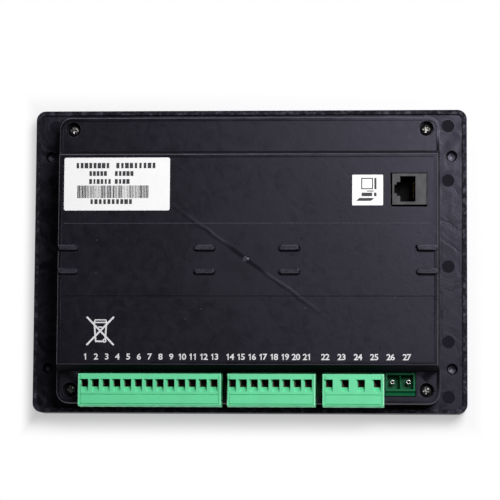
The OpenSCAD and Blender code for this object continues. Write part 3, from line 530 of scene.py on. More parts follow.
def cover_plastic(props):
    """Black ABS from a finely spark-eroded tool: satin, with a mottled sheen, a flow line, dust and a painted
    shadow round each short rib.
    """
    material, tree, place, shader = grained(
        "moulded_abs_cover", props.colour, props.sheen, props.roughness, 0.6, 0.02, 46, **ABS)
    colour, grain = (shader.inputs[name].links[0].from_socket for name in ("Base Color", "Normal"))

    # Mottle of the erosion: patches of 5 mm that differ in gloss.
    mottle = add_node(tree, "ShaderNodeTexNoise", {"Vector": place, "Scale": per_mm(5.0), "Detail": 6.0,
                                                   "Roughness": 0.62, "Distortion": 0.6})
    gloss = add_node(tree, "ShaderNodeMapRange",
                     {0: mottle, 1: CLOUD_LEVELS[0], 2: CLOUD_LEVELS[1],
                      3: props.roughness - MOTTLE_GLOSS, 4: props.roughness + MOTTLE_GLOSS})

    # The flow fronts met along a ridge that crosses the plateau through the gate.
    turned = add_node(tree, "ShaderNodeMapping", {"Vector": place, "Rotation": (0, 0, RIDGE_TURN),
                                                  "Location": (0, RIDGE_OFFSET, 0)})
    bent = add_node(tree, "ShaderNodeTexNoise", {"Vector": place, "Scale": per_mm(14.0), "Detail": 2.0})
    sway = add_node(tree, "ShaderNodeMapRange", {0: bent, 3: -RIDGE_SWAY, 4: RIDGE_SWAY})
    parts = add_node(tree, "ShaderNodeSeparateXYZ", {0: turned}).outputs
    across = add_node(tree, "ShaderNodeMath", {0: parts["Y"], 1: sway}, operation="ADD")
    away = add_node(tree, "ShaderNodeMath", {0: across}, operation="ABSOLUTE")
    along = add_node(tree, "ShaderNodeMath", {0: parts["X"]}, operation="ABSOLUTE")
    line = add_node(tree, "ShaderNodeMapRange", {0: away, 1: 0.0, 2: RIDGE_WIDTH, 3: 1.0, 4: 0.0},
                    interpolation_type="SMOOTHSTEP")
    fade = add_node(tree, "ShaderNodeMapRange", {0: along, 1: RIDGE_FADE[0], 2: RIDGE_FADE[1], 3: 1.0, 4: 0.0})
    ridge = add_node(tree, "ShaderNodeMath", {0: line, 1: fade}, operation="MULTIPLY")
    wavy = add_node(tree, "ShaderNodeBump",
                    {"Height": mottle, "Distance": MOTTLE_DEPTH, "Strength": 1.0, "Normal": grain})
    raised = add_node(tree, "ShaderNodeBump",
                      {"Height": ridge, "Distance": RIDGE_HEIGHT, "Strength": 1.0, "Normal": wavy})
    near = add_node(tree, "ShaderNodeMapRange", {0: along, 1: SEAM_FADE[0], 2: SEAM_FADE[1], 3: 0.9, 4: 0.0})
    swirl = add_node(tree, "ShaderNodeMapRange", {0: away, 1: SEAM_EDGE[0], 2: SEAM_EDGE[1], 3: 1.0, 4: 0.0},
                     interpolation_type="SMOOTHSTEP")
    seam = add_node(tree, "ShaderNodeMath", {0: near, 1: swirl}, operation="MULTIPLY")

    # Round the gate the melt cooled unevenly: dull patches of 17 mm that fade out within 34 mm.
    level = add_node(tree, "ShaderNodeVectorMath", {0: turned, 1: (1.0, 1.0, 0.0)}, operation="MULTIPLY")
    reach = add_node(tree, "ShaderNodeVectorMath", {0: level}, operation="LENGTH").outputs["Value"]
    inside = add_node(tree, "ShaderNodeMapRange",
                      {0: reach, 1: PATCH_FADE[0], 2: PATCH_FADE[1], 3: 0.55, 4: 0.0})
    patches = add_node(tree, "ShaderNodeTexNoise",
                       {"Vector": place, "Scale": per_mm(17.0), "Detail": 2.0, "Distortion": 0.8})
    cooled = add_node(tree, "ShaderNodeMapRange", {0: patches, 1: 0.34, 2: 0.7},
                      interpolation_type="SMOOTHSTEP")
    blotch = add_node(tree, "ShaderNodeMath", {0: inside, 1: cooled}, operation="MULTIPLY")
    patchy = add_node(tree, "ShaderNodeMath", {0: seam, 1: blotch}, operation="MAXIMUM")

    # Each short rib has a painted shadow: a dull, dark margin, wider on its lower side, where the shadow falls.
    folded = place
    for operation, amount in RIB_FOLDS:
        folded = add_node(tree, "ShaderNodeVectorMath", {0: folded, 1: Vector(amount) * MM},
                          operation=operation)
    from_rib = add_node(tree, "ShaderNodeVectorMath", {0: folded}, operation="LENGTH").outputs["Value"]
    margin = add_node(tree, "ShaderNodeMapRange",
                      {0: from_rib, 1: RIB_PAINTED_SHADOW[0], 2: RIB_PAINTED_SHADOW[1], 3: 1.0, 4: 0.0},
                      interpolation_type="SMOOTHSTEP")
    dull_patches_and_rib_shadow = add_node(tree, "ShaderNodeMath", {0: patchy, 1: margin}, operation="MAXIMUM")
    # The dull patches and the painted rib shadow take the colour towards near-black.
    patched_and_shaded_colour = add_node(tree, "ShaderNodeMix", {0: dull_patches_and_rib_shadow, 6: colour, 7: opaque(linear("040405"))},
                        data_type="RGBA")
    dull = add_node(tree, "ShaderNodeMix", {0: dull_patches_and_rib_shadow, 2: gloss, 3: DULL_ROUGHNESS})

    # Dust: sparse specks of about 0.3 mm, one in some of the 7 mm cells.
    cells = add_node(tree, "ShaderNodeTexVoronoi", {"Vector": place, "Scale": per_mm(7.0)}).outputs
    speck = add_node(tree, "ShaderNodeMapRange", {0: cells["Distance"], 1: 0.02, 2: 0.045, 3: 0.5, 4: 0.0})
    picked = add_node(tree, "ShaderNodeSeparateColor", {0: cells["Color"]})
    some = add_node(tree, "ShaderNodeMath", {0: picked, 1: 0.72}, operation="GREATER_THAN")
    dust = add_node(tree, "ShaderNodeMath", {0: speck, 1: some}, operation="MULTIPLY")
    dusty = add_node(tree, "ShaderNodeMix", {0: dust, 6: patched_and_shaded_colour.outputs[2], 7: opaque(linear("6d6d74"))},
                     data_type="RGBA")
    set_inputs(tree, shader, {"Base Color": dusty.outputs[2], "Roughness": dull, "Normal": raised})
    return material


def bezel_plastic(props):
    """Black ABS, glossier than the cover: swirled flow marks of 15 mm on the flange."""
    rough = props.bezel_roughness
    material, tree, place, shader = grained(
        "moulded_abs_bezel", props.colour, props.sheen, rough, 1.1, 0.05, 24, **ABS)
    colour, grain = (shader.inputs[name].links[0].from_socket for name in ("Base Color", "Normal"))
    swirl = add_node(tree, "ShaderNodeTexNoise",
                     {"Vector": place, "Scale": per_mm(15.0), "Detail": 2.0, "Distortion": 2.2})
    gloss = add_node(tree, "ShaderNodeMapRange",
                     {0: swirl, 1: 0.35, 2: 0.65, 3: rough + SWIRL_GLOSS[0], 4: rough + SWIRL_GLOSS[1]})
    wavy = add_node(tree, "ShaderNodeBump",
                    {"Height": swirl, "Distance": SWIRL_DEPTH, "Strength": 1.0, "Normal": grain})
    lift = add_node(tree, "ShaderNodeMapRange", {0: swirl, 1: 0.5, 2: 0.7, 3: 0.0, 4: 0.5})
    marked = add_node(tree, "ShaderNodeMix", {0: lift, 6: colour, 7: opaque(linear("2b2931"))},
                      data_type="RGBA")
    set_inputs(tree, shader, {"Base Color": marked.outputs[2], "Roughness": gloss, "Normal": wavy})
    return material


def scuffed_rim(props):
    """Black ABS from a coarsely eroded part of the tool, scuffed paler by handling in spots of 2.6 mm."""
    material, tree, place, shader = grained(
        "coarse_abs_rim", props.colour, props.sheen, 0.62, 0.7, 0.05, 6, **ABS)
    colour = shader.inputs["Base Color"].links[0].from_socket
    scuffs = add_node(tree, "ShaderNodeTexNoise",
                      {"Vector": place, "Scale": per_mm(2.6), "Detail": 6.0, "Roughness": 0.7})
    worn = add_node(tree, "ShaderNodeMapRange", {0: scuffs, 1: 0.5, 2: 0.68, 3: 0.0, 4: 0.6})
    paler = add_node(tree, "ShaderNodeMix", {0: worn, 6: colour, 7: opaque(props.rubbed_and_highlight)}, data_type="RGBA")
    gloss = add_node(tree, "ShaderNodeMapRange", {0: scuffs, 1: 0.4, 2: 0.62, 3: 0.9, 4: 0.5})
    set_inputs(tree, shader, {"Base Color": paler.outputs[2], "Roughness": gloss})
    return material


def clear_acrylic():
    """Clear cast acrylic window, polished, with faint smears of 18 mm."""
    material, tree, place, shader = new_surface(
        "clear_acrylic", {"Base Color": opaque(linear("f2f6f4")), "Transmission Weight": 1.0, "IOR": 1.49})
    smears = add_node(tree, "ShaderNodeTexNoise", {"Vector": place, "Scale": per_mm(18.0), "Detail": 3.0})
    gloss = add_node(tree, "ShaderNodeMapRange", {0: smears, 3: 0.02, 4: 0.12})
    set_inputs(tree, shader, {"Roughness": gloss})
    return material


def board_resist():
    """Glass-fibre board under green solder resist: glossy, with paler bands over the copper tracks."""
    material, tree, place, shader = grained(
        "solder_resist_board", linear("1f6b3c"), linear("195832"), 0.32, 0.4, 0.01, 30)
    colour = shader.inputs["Base Color"].links[0].from_socket
    black, white = opaque((0, 0, 0)), opaque((1, 1, 1))
    tracks = add_node(tree, "ShaderNodeTexBrick", {"Vector": place, "Scale": per_mm(5.0), "Mortar Size": 0.09,
                                                   "Color1": black, "Color2": black, "Mortar": white})
    mix = add_node(tree, "ShaderNodeMix", {0: tracks.outputs["Fac"], 6: colour, 7: opaque(linear("2d8a4d"))},
                   data_type="RGBA")
    set_inputs(tree, shader, {"Base Color": mix.outputs[2]})
    return material


# Settings

def colour_setting(name, description, code):
    """Colour that a user may change."""
    return bpy.props.FloatVectorProperty(name=name, description=description, subtype="COLOR", size=3,
                                         min=0, max=1, default=linear(code))


def length_setting(name, description, low, high, default):
    """Length that a user may change, in millimetres here."""
    return bpy.props.FloatProperty(name=name, description=description, subtype="DISTANCE", unit="LENGTH",
                                   min=low * MM, max=high * MM, default=default * MM)


def share_setting(name, description, low, high, default):
    """Roughness or brightness that a user may change."""
    return bpy.props.FloatProperty(name=name, description=description, subtype="FACTOR",
                                   min=low, max=high, default=default)


class GensetCasingSettings(bpy.types.PropertyGroup):
    """Finish of the cover and the bezel."""

    colour: colour_setting("Colour", "Colour of the black plastic", "08070a")
    sheen: colour_setting("Sheen", "Lighter tone of the plastic's clouds", "121117")
    roughness: share_setting("Cover roughness", "Roughness of the cover", 0.1, 1, 0.4)
    bezel_roughness: share_setting("Bezel roughness", "Roughness of the bezel", 0.15, 0.85, 0.4)
    # Also the colour of the painted highlights on the cover's outer edges and in the fixing holes.
    rubbed_and_highlight: colour_setting("Rubbed edges", "Colour of the handled edges", "504e58")
    lip_roughness: share_setting("Lip roughness", "Roughness of the polished lips", 0.1, 1, 0.3)
    edge_radius: length_setting("Edge radius", "Radius of the moulded edges", 0.05, 0.3, 0.14)
    outer_radius: length_setting("Outer edge radius", "Radius of the edges round the steps", 0.1, 0.6, 0.45)


class GensetTerminalSettings(bpy.types.PropertyGroup):
    """Finish of the terminal blocks."""

    plug_colour: colour_setting("Plugs", "Colour of the pluggable blocks", "66dca0")
    header_colour: colour_setting("Headers", "Colour of the headers", "04623c")
    edge_radius: length_setting("Edge radius", "Radius of the blocks' edges", 0.03, 0.2, 0.08)
    plug_radius: length_setting("Plug edge radius", "Radius round the top of the plugs", 0.05, 0.4, 0.26)


class GensetPrintSettings(bpy.types.PropertyGroup):
    """White print on the cover and black print on the labels."""

    ink: colour_setting("White ink", "Colour of the print on the cover", "e4e4e6")
    label_ink: colour_setting("Label ink", "Colour of the print on the labels", "26262a")
    figure_height: length_setting("Figure height", "Height of the terminal numbers", 2, 5, 2.9)
    thickness: length_setting("Ink thickness", "Thickness of the printed layer", 0.005, 0.05, 0.02)
    seed: bpy.props.IntProperty(
        name="Bar seed", description="Seed of the bar widths on the rating label", min=0, default=7)


class GensetFrontSettings(bpy.types.PropertyGroup):
    """Finish of the front film and the keys."""

    film: colour_setting("Film", "Colour of the front film", "4b5058")
    stop: colour_setting("Stop key", "Colour of the stop key", "b3262b")
    start: colour_setting("Start key", "Colour of the start key", "2f8f4e")
    plain: colour_setting("Other keys", "Colour of the other keys", "6a7079")


class GensetStageSettings(bpy.types.PropertyGroup):
    """Floor, light and camera."""

    floor: colour_setting("Floor", "Colour of the floor", "f4f4f6")
    key_power: bpy.props.FloatProperty(
        name="Key light", description="Power of the softbox at the upper right", unit="POWER",
        min=0, default=5.6)
    ceiling: share_setting("Ceiling", "Brightness of the studio overhead", 0, 1, 0.03)
    distance: bpy.props.FloatProperty(
        name="Camera distance", description="Distance of the camera from the object", subtype="DISTANCE",
        unit="LENGTH", min=0.3, default=1.185)
    lens: bpy.props.FloatProperty(
        name="Lens", description="Focal length in millimetres", subtype="DISTANCE_CAMERA",
        min=20, default=178.3)


# Operators

class GENSET_OT_casing(bpy.types.Operator):
    """Finish the rear cover and the front bezel"""

    bl_idname = "genset.casing"
    bl_label = "Casing"
    segments = 3
    band_radius = 0.2 * MM
    rib_radius = 0.3 * MM
    # Parts of a face's normal: along y on the slope, upwards on a wall (at most) and on the rim's top (at least)
    slope_normal, wall_normal, top_normal = -0.6, 0.5, 0.3

    def execute(self, context):
        props = context.scene.genset_casing
        lips = {PLATEAU_LIP: props.outer_radius, LOW_STEP: props.outer_radius}
        edges = {**lips, BAND_EDGE: self.band_radius, RIB_TOP: self.rib_radius}
        cover = softened("rear_cover", props.edge_radius, self.segments, edges)
        dress(cover, cover_plastic(props), BODY, "casing_plastic", "rear_cover")
        # The lips round the two steps come from a polished part of the tool.
        polished = moulded("polished_abs_lip", props.colour, props.sheen, props.lip_roughness, 2.0, 0.01, 12,
                           **ABS)
        finish_faces(cover, polished, lambda face: is_level(face, lips))
        # The outer edges are painted lighter, a painted highlight where the roundings catch the light, and are
        # glossier; the band's lower edge, which faces away from the light, is left out.
        rubbed_and_highlight = moulded("abs_edge_painted_highlight", props.rubbed_and_highlight, dimmed(props.rubbed_and_highlight, 0.6), 0.34, 0.5, 0.01, 5,
                         **ABS)
        finish_faces(cover, rubbed_and_highlight, lambda face: is_rounding(face, edges) and (
            face.normal.y > 0 or not BAND_FOOT < face.center.z < BAND_EDGE))
        # The ribs' tops are scuffed by stacking.
        scuffed = moulded("scuffed_abs_rib", dimmed(props.rubbed_and_highlight, 0.35), props.sheen, 0.5, 0.5, 0.03, 2,
                          **ABS)
        finish_faces(cover, scuffed, lambda face: is_level(face, (RIB_TOP,)))
        # The slope over the terminals and the ribs' lower sides are coarsely eroded, and dull.
        coarse = moulded("coarse_abs_slope", props.colour, props.colour, 0.8, 0.8, 0.04, 9,
                         **abs_sockets(0.15))
        finish_faces(cover, coarse,
                     lambda face: face.normal.y < self.slope_normal and face.center.z > SLOPE_FOOT)
        rim = {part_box("front_bezel")[1].z: props.outer_radius}
        bezel = softened("front_bezel", props.edge_radius, self.segments, rim)
        dress(bezel, bezel_plastic(props), BODY, "casing_plastic", "front_bezel")
        # The outer walls are plain satin, without the flange's flow marks.
        walls = moulded("satin_abs_wall", props.colour, props.sheen, 0.5, 0.6, 0.02, 40, **ABS)
        finish_faces(bezel, walls, lambda face: abs(face.normal.z) < self.wall_normal)
        # The rim's top is coarsely eroded: dark, with paler scuffs of a few millimetres.
        finish_faces(bezel, scuffed_rim(props),
                     lambda face: face.normal.z > self.top_normal and face.center.z > RIM_FOOT)
        # Ejector pins leave flat, dull discs just under the flange.
        dull = moulded("ejector_mark_abs", props.colour, props.sheen, 0.7, 0.4, 0.02, 3, **abs_sockets(0.2))
        finish_faces(bezel, dull, lambda face: is_level(face, (EJECTOR_MARK,)))
        # The blind fixing holes end in a polished round bottom, painted pale in the middle as a painted
        # highlight.
        hole_highlight = moulded("polished_abs_hole_painted_highlight", dimmed(props.rubbed_and_highlight, 2.4), props.rubbed_and_highlight, 0.26, 1.0, 0.03, 2,
                       **abs_sockets(0.5))
        finish_faces(bezel, hole_highlight, is_hole_bottom)
        self.gate_nub(props)
        return {"FINISHED"}

    @staticmethod
    def gate_nub(props):
        """Torn end of the sprue, left standing in the gate's recess."""
        shape = bmesh.new()
        bmesh.ops.create_uvsphere(shape, u_segments=20, v_segments=10, radius=1.0)
        half_x, half_y, half_z = 1.9, 1.3, 0.45
        middle_x, middle_y = -0.6, -1.2
        for v in shape.verts:
            torn = 0.18 * math.sin(3 * math.atan2(v.co.y, v.co.x)) * (1 - abs(v.co.z))
            v.co = Vector(((v.co.x * (half_x + torn) + middle_x) * MM,
                           (v.co.y * (half_y - torn) + middle_y) * MM,
                           GATE_FLOOR + v.co.z * half_z * MM))
        for face in shape.faces:
            face.smooth = True
        torn_abs = moulded("torn_abs_gate", props.sheen, props.rubbed_and_highlight, 0.22, 0.5, 0.05, 1.2, **ABS)
        dress(print_mesh("gate_nub", shape), torn_abs, BODY, "casing_plastic")


class GENSET_OT_terminals(bpy.types.Operator):
    """Finish the plugs, headers, contacts and clamps"""

    bl_idname = "genset.terminals"
    bl_label = "Terminal blocks"

    def execute(self, context):
        props = context.scene.genset_terminals
        # Glass-filled polyamide, moulded: bright, a little waxy, with a faint mottle.
        green = moulded("polyamide_green", props.plug_colour, dimmed(props.plug_colour, 0.9),
                        0.42, 0.7, 0.012, 9)
        # The plugs' upper edges are painted paler: a painted highlight where they catch the light.
        plug_edge_highlight = plastic("polyamide_edge_painted_highlight", "b4f4d2", "a0ecc4", 0.35, 0.5, 0.01, 6)
        # The headers are the same polyamide, dyed darker and duller.
        dark_green = moulded("polyamide_dark_green", props.header_colour, dimmed(props.header_colour, 0.75),
                             0.5, 0.7, 0.012, 7, **{"Specular IOR Level": 0.2})
        # Tin on copper: pale, softly bright, drawn along the contact.
        tin = worn_metal("tinned_copper", "d6d6d4", "b4b4b2", 0.3, (1.0, 1.0, 0.15))
        # Nickelled brass cages, browned where the wire is clamped.
        brass = worn_metal("browned_brass", "5c4c40", "3e332b", 0.42, (1.0, 0.2, 1.0))
        # Zinc-plated steel with turned lines.
        steel = worn_metal("zinc_plated_steel", "c3c6ca", "9b9ea3", 0.28, (0.25, 1.0, 1.0))
        for i in PLUGS:
            body = f"terminal_plug_{i}"
            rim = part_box(f"plug_{i}")
            top = {rim[1].z: props.plug_radius}
            plug = softened(f"plug_{i}", props.edge_radius, levels=top, rim=rim)
            dress(plug, green, body, "plug_green", f"plug_{i}")
            finish_faces(plug, plug_edge_highlight, lambda face: is_rounding(face, top, rim))
            inserts = ((f"clamps_{i}", brass, "brass"), (f"clamp_screws_{i}", steel, "steel"))
            for node, metal, slot in inserts:
                dress(softened(node, props.edge_radius), metal, body, slot, node)
        for name in (*PLUGS, "spare"):
            header, contacts = f"header_{name}", f"contacts_{name}"
            dress(softened(header, props.edge_radius), dark_green, BODY, "header_green", header)
            dress(softened(contacts, props.edge_radius), tin, BODY, "contact", contacts)
        # The open contacts' bores are painted dark: painted shade, as little light gets in.
        bore_shade = worn_metal("tin_bore_painted_shade", "2a2a2a", "161616", 0.6, (1.0, 1.0, 0.15))
        low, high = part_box("contacts_spare")
        radius = (high.y - low.y) / 2
        bore_share = 0.7
        centres = [Vector((x, (low.y + high.y) / 2)) for x in (low.x + radius, high.x - radius)]
        finish_faces(bpy.data.objects["contacts_spare_finished"], bore_shade, lambda face: min(
            (face.center.xy - centre).length for centre in centres) < bore_share * radius)
        return {"FINISHED"}


class GENSET_OT_fasteners(bpy.types.Operator):
    """Finish the cover screws and the board screws"""

    bl_idname = "genset.fasteners"
    bl_label = "Screws"
    edge_radius = 0.08 * MM

    def execute(self, context):
        # Nickel-plated steel: bright, with the press lines of a formed head.
        nickel = worn_metal("nickel_plated_steel", "8f8e8c", "62615f", 0.36, (1.0, 0.3, 1.0))
        for node in ("cover_screws", "display_board_screws", "main_board_screws"):
            dress(softened(node, self.edge_radius), nickel, BODY, "steel", node)
        return {"FINISHED"}


class GENSET_OT_data_socket(bpy.types.Operator):
    """Finish the data socket and its sprung wires"""

    bl_idname = "genset.data_socket"
    bl_label = "Data socket"
    edge_radius = 0.1 * MM
    wire_radius = 0.04 * MM
    face_depth = 0.2 * MM

    def execute(self, context):
        # Glass-filled PBT: dark grey and matt, rougher than the casing.
        pbt = plastic("glass_filled_pbt", "3e3e42", "323235", 0.58, grain=0.7, depth=0.03, cloud=4)
        jack = dress(softened("data_jack", self.edge_radius), pbt, BODY, "socket_black", "data_jack")
        # Inside, the moulding is painted near-black and dull: painted shade, as little light gets in.
        cavity_shade = plastic("pbt_cavity_painted_shade", "060607", "040404", 0.7, grain=1.5, depth=0.01, cloud=5,
                       **{"Specular IOR Level": 0.1})
        face_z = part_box("data_jack")[1].z
        finish_faces(jack, cavity_shade, lambda face: face.center.z < face_z - self.face_depth)
        # Gold flash on phosphor bronze, tarnished brown.
        gold = worn_metal("gold_flashed_bronze", "5e4e30", "483b24", 0.4, (1.0, 1.0, 0.2))
        dress(softened("jack_contacts", self.wire_radius), gold, BODY, "brass", "jack_contacts")
        return {"FINISHED"}


class GENSET_OT_labels(bpy.types.Operator):
    """Finish the two labels, with blanked lines, a generic bar code and a plain computer sign"""

    bl_idname = "genset.labels"
    bl_label = "Labels"
    corner = 0.95 * MM

    def execute(self, context):
        props = context.scene.genset_print
        # Coated label paper: bright white, with the faintest fibre mottle.
        paper = plastic("coated_label_paper", "fbfbfb", "f6f6f6", 0.5, grain=0.5, depth=0.004, cloud=6)
        finish_node("socket_label", paper)
        dress(label_plate("rating_label", self.corner), paper, BODY, "label", "rating_label")
        # Thermal print: near-black, slightly patchy.
        ink = moulded("label_ink", props.label_ink, dimmed(props.label_ink, 1.6), 0.6, 0.3, 0.002, 1.5)
        low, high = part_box("rating_label")
        tree = bar_row_tree()
        top = high.z + props.thickness / 2
        # Name, place of the first bar, count, pitch, height, thinnest and widest share of the pitch, seed
        rows = (("title_line_a", 6.4, 21.4, 8, 2.05, 2.6, 0.5, 0.85, 1),
                ("title_line_b", 25.5, 21.4, 9, 2.15, 2.6, 0.5, 0.85, 2),
                ("second_line_a", 12.6, 17.6, 5, 1.75, 2.3, 0.5, 0.85, 3),
                ("second_line_b", 24.8, 17.6, 5, 1.85, 2.3, 0.5, 0.85, 4),
                ("third_line_a", 12.6, 13.8, 6, 1.8, 2.3, 0.45, 0.85, 5),
                ("third_line_b", 24.8, 13.8, 4, 1.85, 2.3, 0.5, 0.85, 6),
                ("bar_code", 6.6, 8.9, 46, 0.74, 6.0, 0.25, 0.85, 7),
                ("serial_line", 13.2, 4.2, 10, 2.05, 2.3, 0.5, 0.85, 8))
        for name, x, y, bars, pitch, height, thin, wide, offset in rows:
            row = bar_row(tree, "rating_" + name, {
                "Bars": bars, "Start": (low.x + x * MM, low.y + y * MM, top), "Pitch": pitch * MM,
                "Height": height * MM, "Thickness": props.thickness, "Thinnest": thin, "Widest": wide,
                "Seed": props.seed + offset, "Ink": ink})
            dress(row, ink, BODY, "label")
        self.computer_sign(props, ink)
        return {"FINISHED"}

    @staticmethod
    def computer_sign(props, ink):
        """A screen on its foot over a keyboard, in plain shapes."""
        low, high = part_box("socket_label")
        shape = bmesh.new()
        z, t = high.z, props.thickness

        def block(x0, y0, x1, y1, slant=0.0):
            points = ((x0, y0), (x1, y0), (x1 + slant, y1), (x0 + slant, y1))
            add_outline(shape, [(low.x + x * MM, low.y + y * MM) for x, y in points], z, t)

        for x0, y0, x1, y1 in ((4.2, 7.6, 4.7, 13.0), (9.3, 7.6, 9.8, 13.0), (4.7, 12.5, 9.3, 13.0),
                               (4.7, 7.6, 9.3, 8.1), (10.4, 7.6, 11.4, 13.0), (7.0, 6.5, 10.0, 7.0),
                               (4.4, 4.3, 9.4, 6.0), (10.2, 4.3, 11.4, 6.0)):
            block(x0, y0, x1, y1)
        block(1.8, 2.1, 8.8, 3.5, slant=1.6)
        dress(print_mesh("computer_sign", shape), ink, BODY, "label")


class GENSET_OT_print(bpy.types.Operator):
    """Print the terminal numbers and the crossed-out bin sign on the cover"""

    bl_idname = "genset.cover_print"
    bl_label = "Cover print"

    def execute(self, context):
        props = context.scene.genset_print
        # Pad-printed white ink: matt, thin enough to dull a little over the black.
        white = moulded("white_pad_ink", props.ink, dimmed(props.ink, 0.85), 0.6, 0.4, 0.004, 2)
        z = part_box("rating_label")[0].z
        figures = bmesh.new()
        line_y = -47.15 * MM
        # First number, count, place of the first and pitch of each row
        for first, count, x, pitch in ((1, 13, -75.96, 5.08), (14, 8, -7.73, 5.17), (22, 6, 37.03, 7.62)):
            for k in range(count):
                centre = ((x + pitch * k) * MM, line_y)
                add_number(figures, str(first + k), centre, props.figure_height, z, props.thickness)
        dress(print_mesh("terminal_numbers", figures), white, BODY, "label")
        dress(self.bin_sign(z, props.thickness), white, BODY, "label")
        return {"FINISHED"}

    @staticmethod
    def bin_sign(z, thickness):
        """Wheeled bin under two crossed lines."""
        centre = (-69.0, -35.1)
        # Each line is a little higher than the last, so that no two faces coincide where they cross.
        step, wheel_step = 0.002 * MM, 0.03 * MM
        lines = ((-6.2, 6.4, 6.2, -6.4, 0.85), (-6.2, -6.4, 6.2, 6.4, 0.85), (-2.8, 3.4, -2.1, -4.9, 0.75),
                 (2.9, 3.4, 2.4, -3.7, 0.75), (-2.1, -4.9, 1.4, -4.9, 0.75), (-2.9, 4.0, 3.1, 4.0, 0.6),
                 (-2.9, 4.0, -2.4, 5.2, 0.6), (3.1, 4.0, 2.6, 5.0, 0.6), (-2.4, 5.2, 2.6, 5.2, 0.5),
                 (-0.7, 1.8, 0.7, 1.8, 0.6))
        shape = bmesh.new()
        for i, (x0, y0, x1, y1, width) in enumerate(lines):
            start, end = (((centre[0] + x) * MM, (centre[1] + y) * MM) for x, y in ((x0, y0), (x1, y1)))
            add_stroke(shape, start, end, width * MM, z, thickness + i * step)
        wheel = ((centre[0] + 2.05) * MM, (centre[1] - 4.6) * MM)
        add_ring(shape, wheel, 0.95 * MM, 0.35 * MM, z, thickness + wheel_step)
        return print_mesh("bin_sign", shape)


class GENSET_OT_front(bpy.types.Operator):
    """Finish the front: panel, film, window, display, keys and lamps"""

    bl_idname = "genset.front"
    bl_label = "Front"
    edge_radius = 0.25 * MM
    segments = 3

    def execute(self, context):
        props = context.scene.genset_front
        # Moulded ABS: dark grey, with a fine, even grain.
        panel = plastic("moulded_abs_panel", "26272b", "1f2024", 0.5, grain=0.6, depth=0.02)
        finish_node("front_panel", panel)
        # Velvet-faced polyester film, printed on its back.
        film = moulded("polyester_film", props.film, dimmed(props.film, 0.88), 0.55, 0.25, 0.008, 30)
        finish_node("fascia_film", film)
        finish_node("display_lens", clear_acrylic())
        # Liquid crystal glass over a green reflector.
        glass = plastic("liquid_crystal_glass", "8fa27a", "869a72", 0.18, grain=0.3, depth=0.001)
        finish_node("display_glass", glass)
        # Pressed tin-plated steel.
        finish_node("display_frame", worn_metal("tinned_steel", "8e9195", "75787c", 0.4, (1, 0.2, 1)))
        # Clear epoxy lamps, cast with a diffuser.
        epoxy = plastic("diffusing_epoxy", "e6e2d2", "d8d4c4", 0.22, grain=0.5, depth=0.002)
        finish_node("status_lamps", epoxy)
        # Black nylon switches, satin.
        finish_node("key_switches", plastic("switch_nylon", "222224", "1a1a1c", 0.5))
        # Silicone-coated keys: soft satin, with signs in matt white ink.
        keys = {"stop": props.stop, "start": props.start}
        slots = {"stop": "key_red", "start": "key_green"}
        symbol_ink = plastic("key_ink", "ececec", "e2e2e2", 0.6, cloud=2)
        for name in KEY_BODIES:
            colour = keys.get(name, props.plain)
            rubber = moulded(f"key_silicone_{name}", colour, dimmed(colour, 0.85), 0.55, 0.35, 0.01, 6)
            body, node = f"{name}_key", f"key_{name}"
            key = softened(node, self.edge_radius, self.segments)
            dress(key, rubber, body, slots.get(name, "key_grey"), node)
            dress(self.key_symbol(name), symbol_ink, body, "label")
        return {"FINISHED"}

    @staticmethod
    def key_symbol(name):
        """Plain sign on a key's dish: ring, bars, arc or chevron."""
        low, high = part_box(f"key_{name}")
        cx, cy = (low.x + high.x) / 2, (low.y + high.y) / 2
        shape = bmesh.new()
        # Thickness and width of the lines
        t, w = 0.03 * MM, 0.7 * MM
        if name == "stop":
            add_ring(shape, (cx, cy), 2.4 * MM, 1.7 * MM, 0, t)
        elif name == "manual":
            for x in (-1.5, 0.0, 1.5):
                add_stroke(shape, (cx + x * MM, cy - 1.8 * MM), (cx + x * MM, cy + 1.8 * MM), w, 0, t)
        elif name == "auto":
            add_ring(shape, (cx, cy), 2.4 * MM, 1.7 * MM, 0, t, start=0.6, sweep=5.0)
            add_stroke(shape, (cx + 1.2 * MM, cy - 0.4 * MM), (cx + 1.8 * MM, cy - 1.2 * MM), w, 0, t)
        elif name == "start":
            add_stroke(shape, (cx, cy - 2.2 * MM), (cx, cy + 2.2 * MM), w, 0, t)
        else:
            add_stroke(shape, (cx - 1.8 * MM, cy - 0.9 * MM), (cx, cy + 1.2 * MM), w, 0, t)
            add_stroke(shape, (cx, cy + 1.2 * MM), (cx + 1.8 * MM, cy - 0.9 * MM), w, 0, t * 1.1)
        # The dish is part of a ball four times as wide as the key without its rims.
        rims, dish_depth, shallowest = 2.4 * MM, 0.5 * MM, 0.2 * MM
        ball = (high.x - low.x - rims) * 2
        for v in shape.verts:
            r = math.hypot(v.co.x - cx, v.co.y - cy)
            dish = dish_depth - ball + math.sqrt(ball * ball - r * r)
            v.co.z = max(dish, shallowest) - (t - v.co.z)
        return print_mesh(f"key_symbol_{name}", shape)


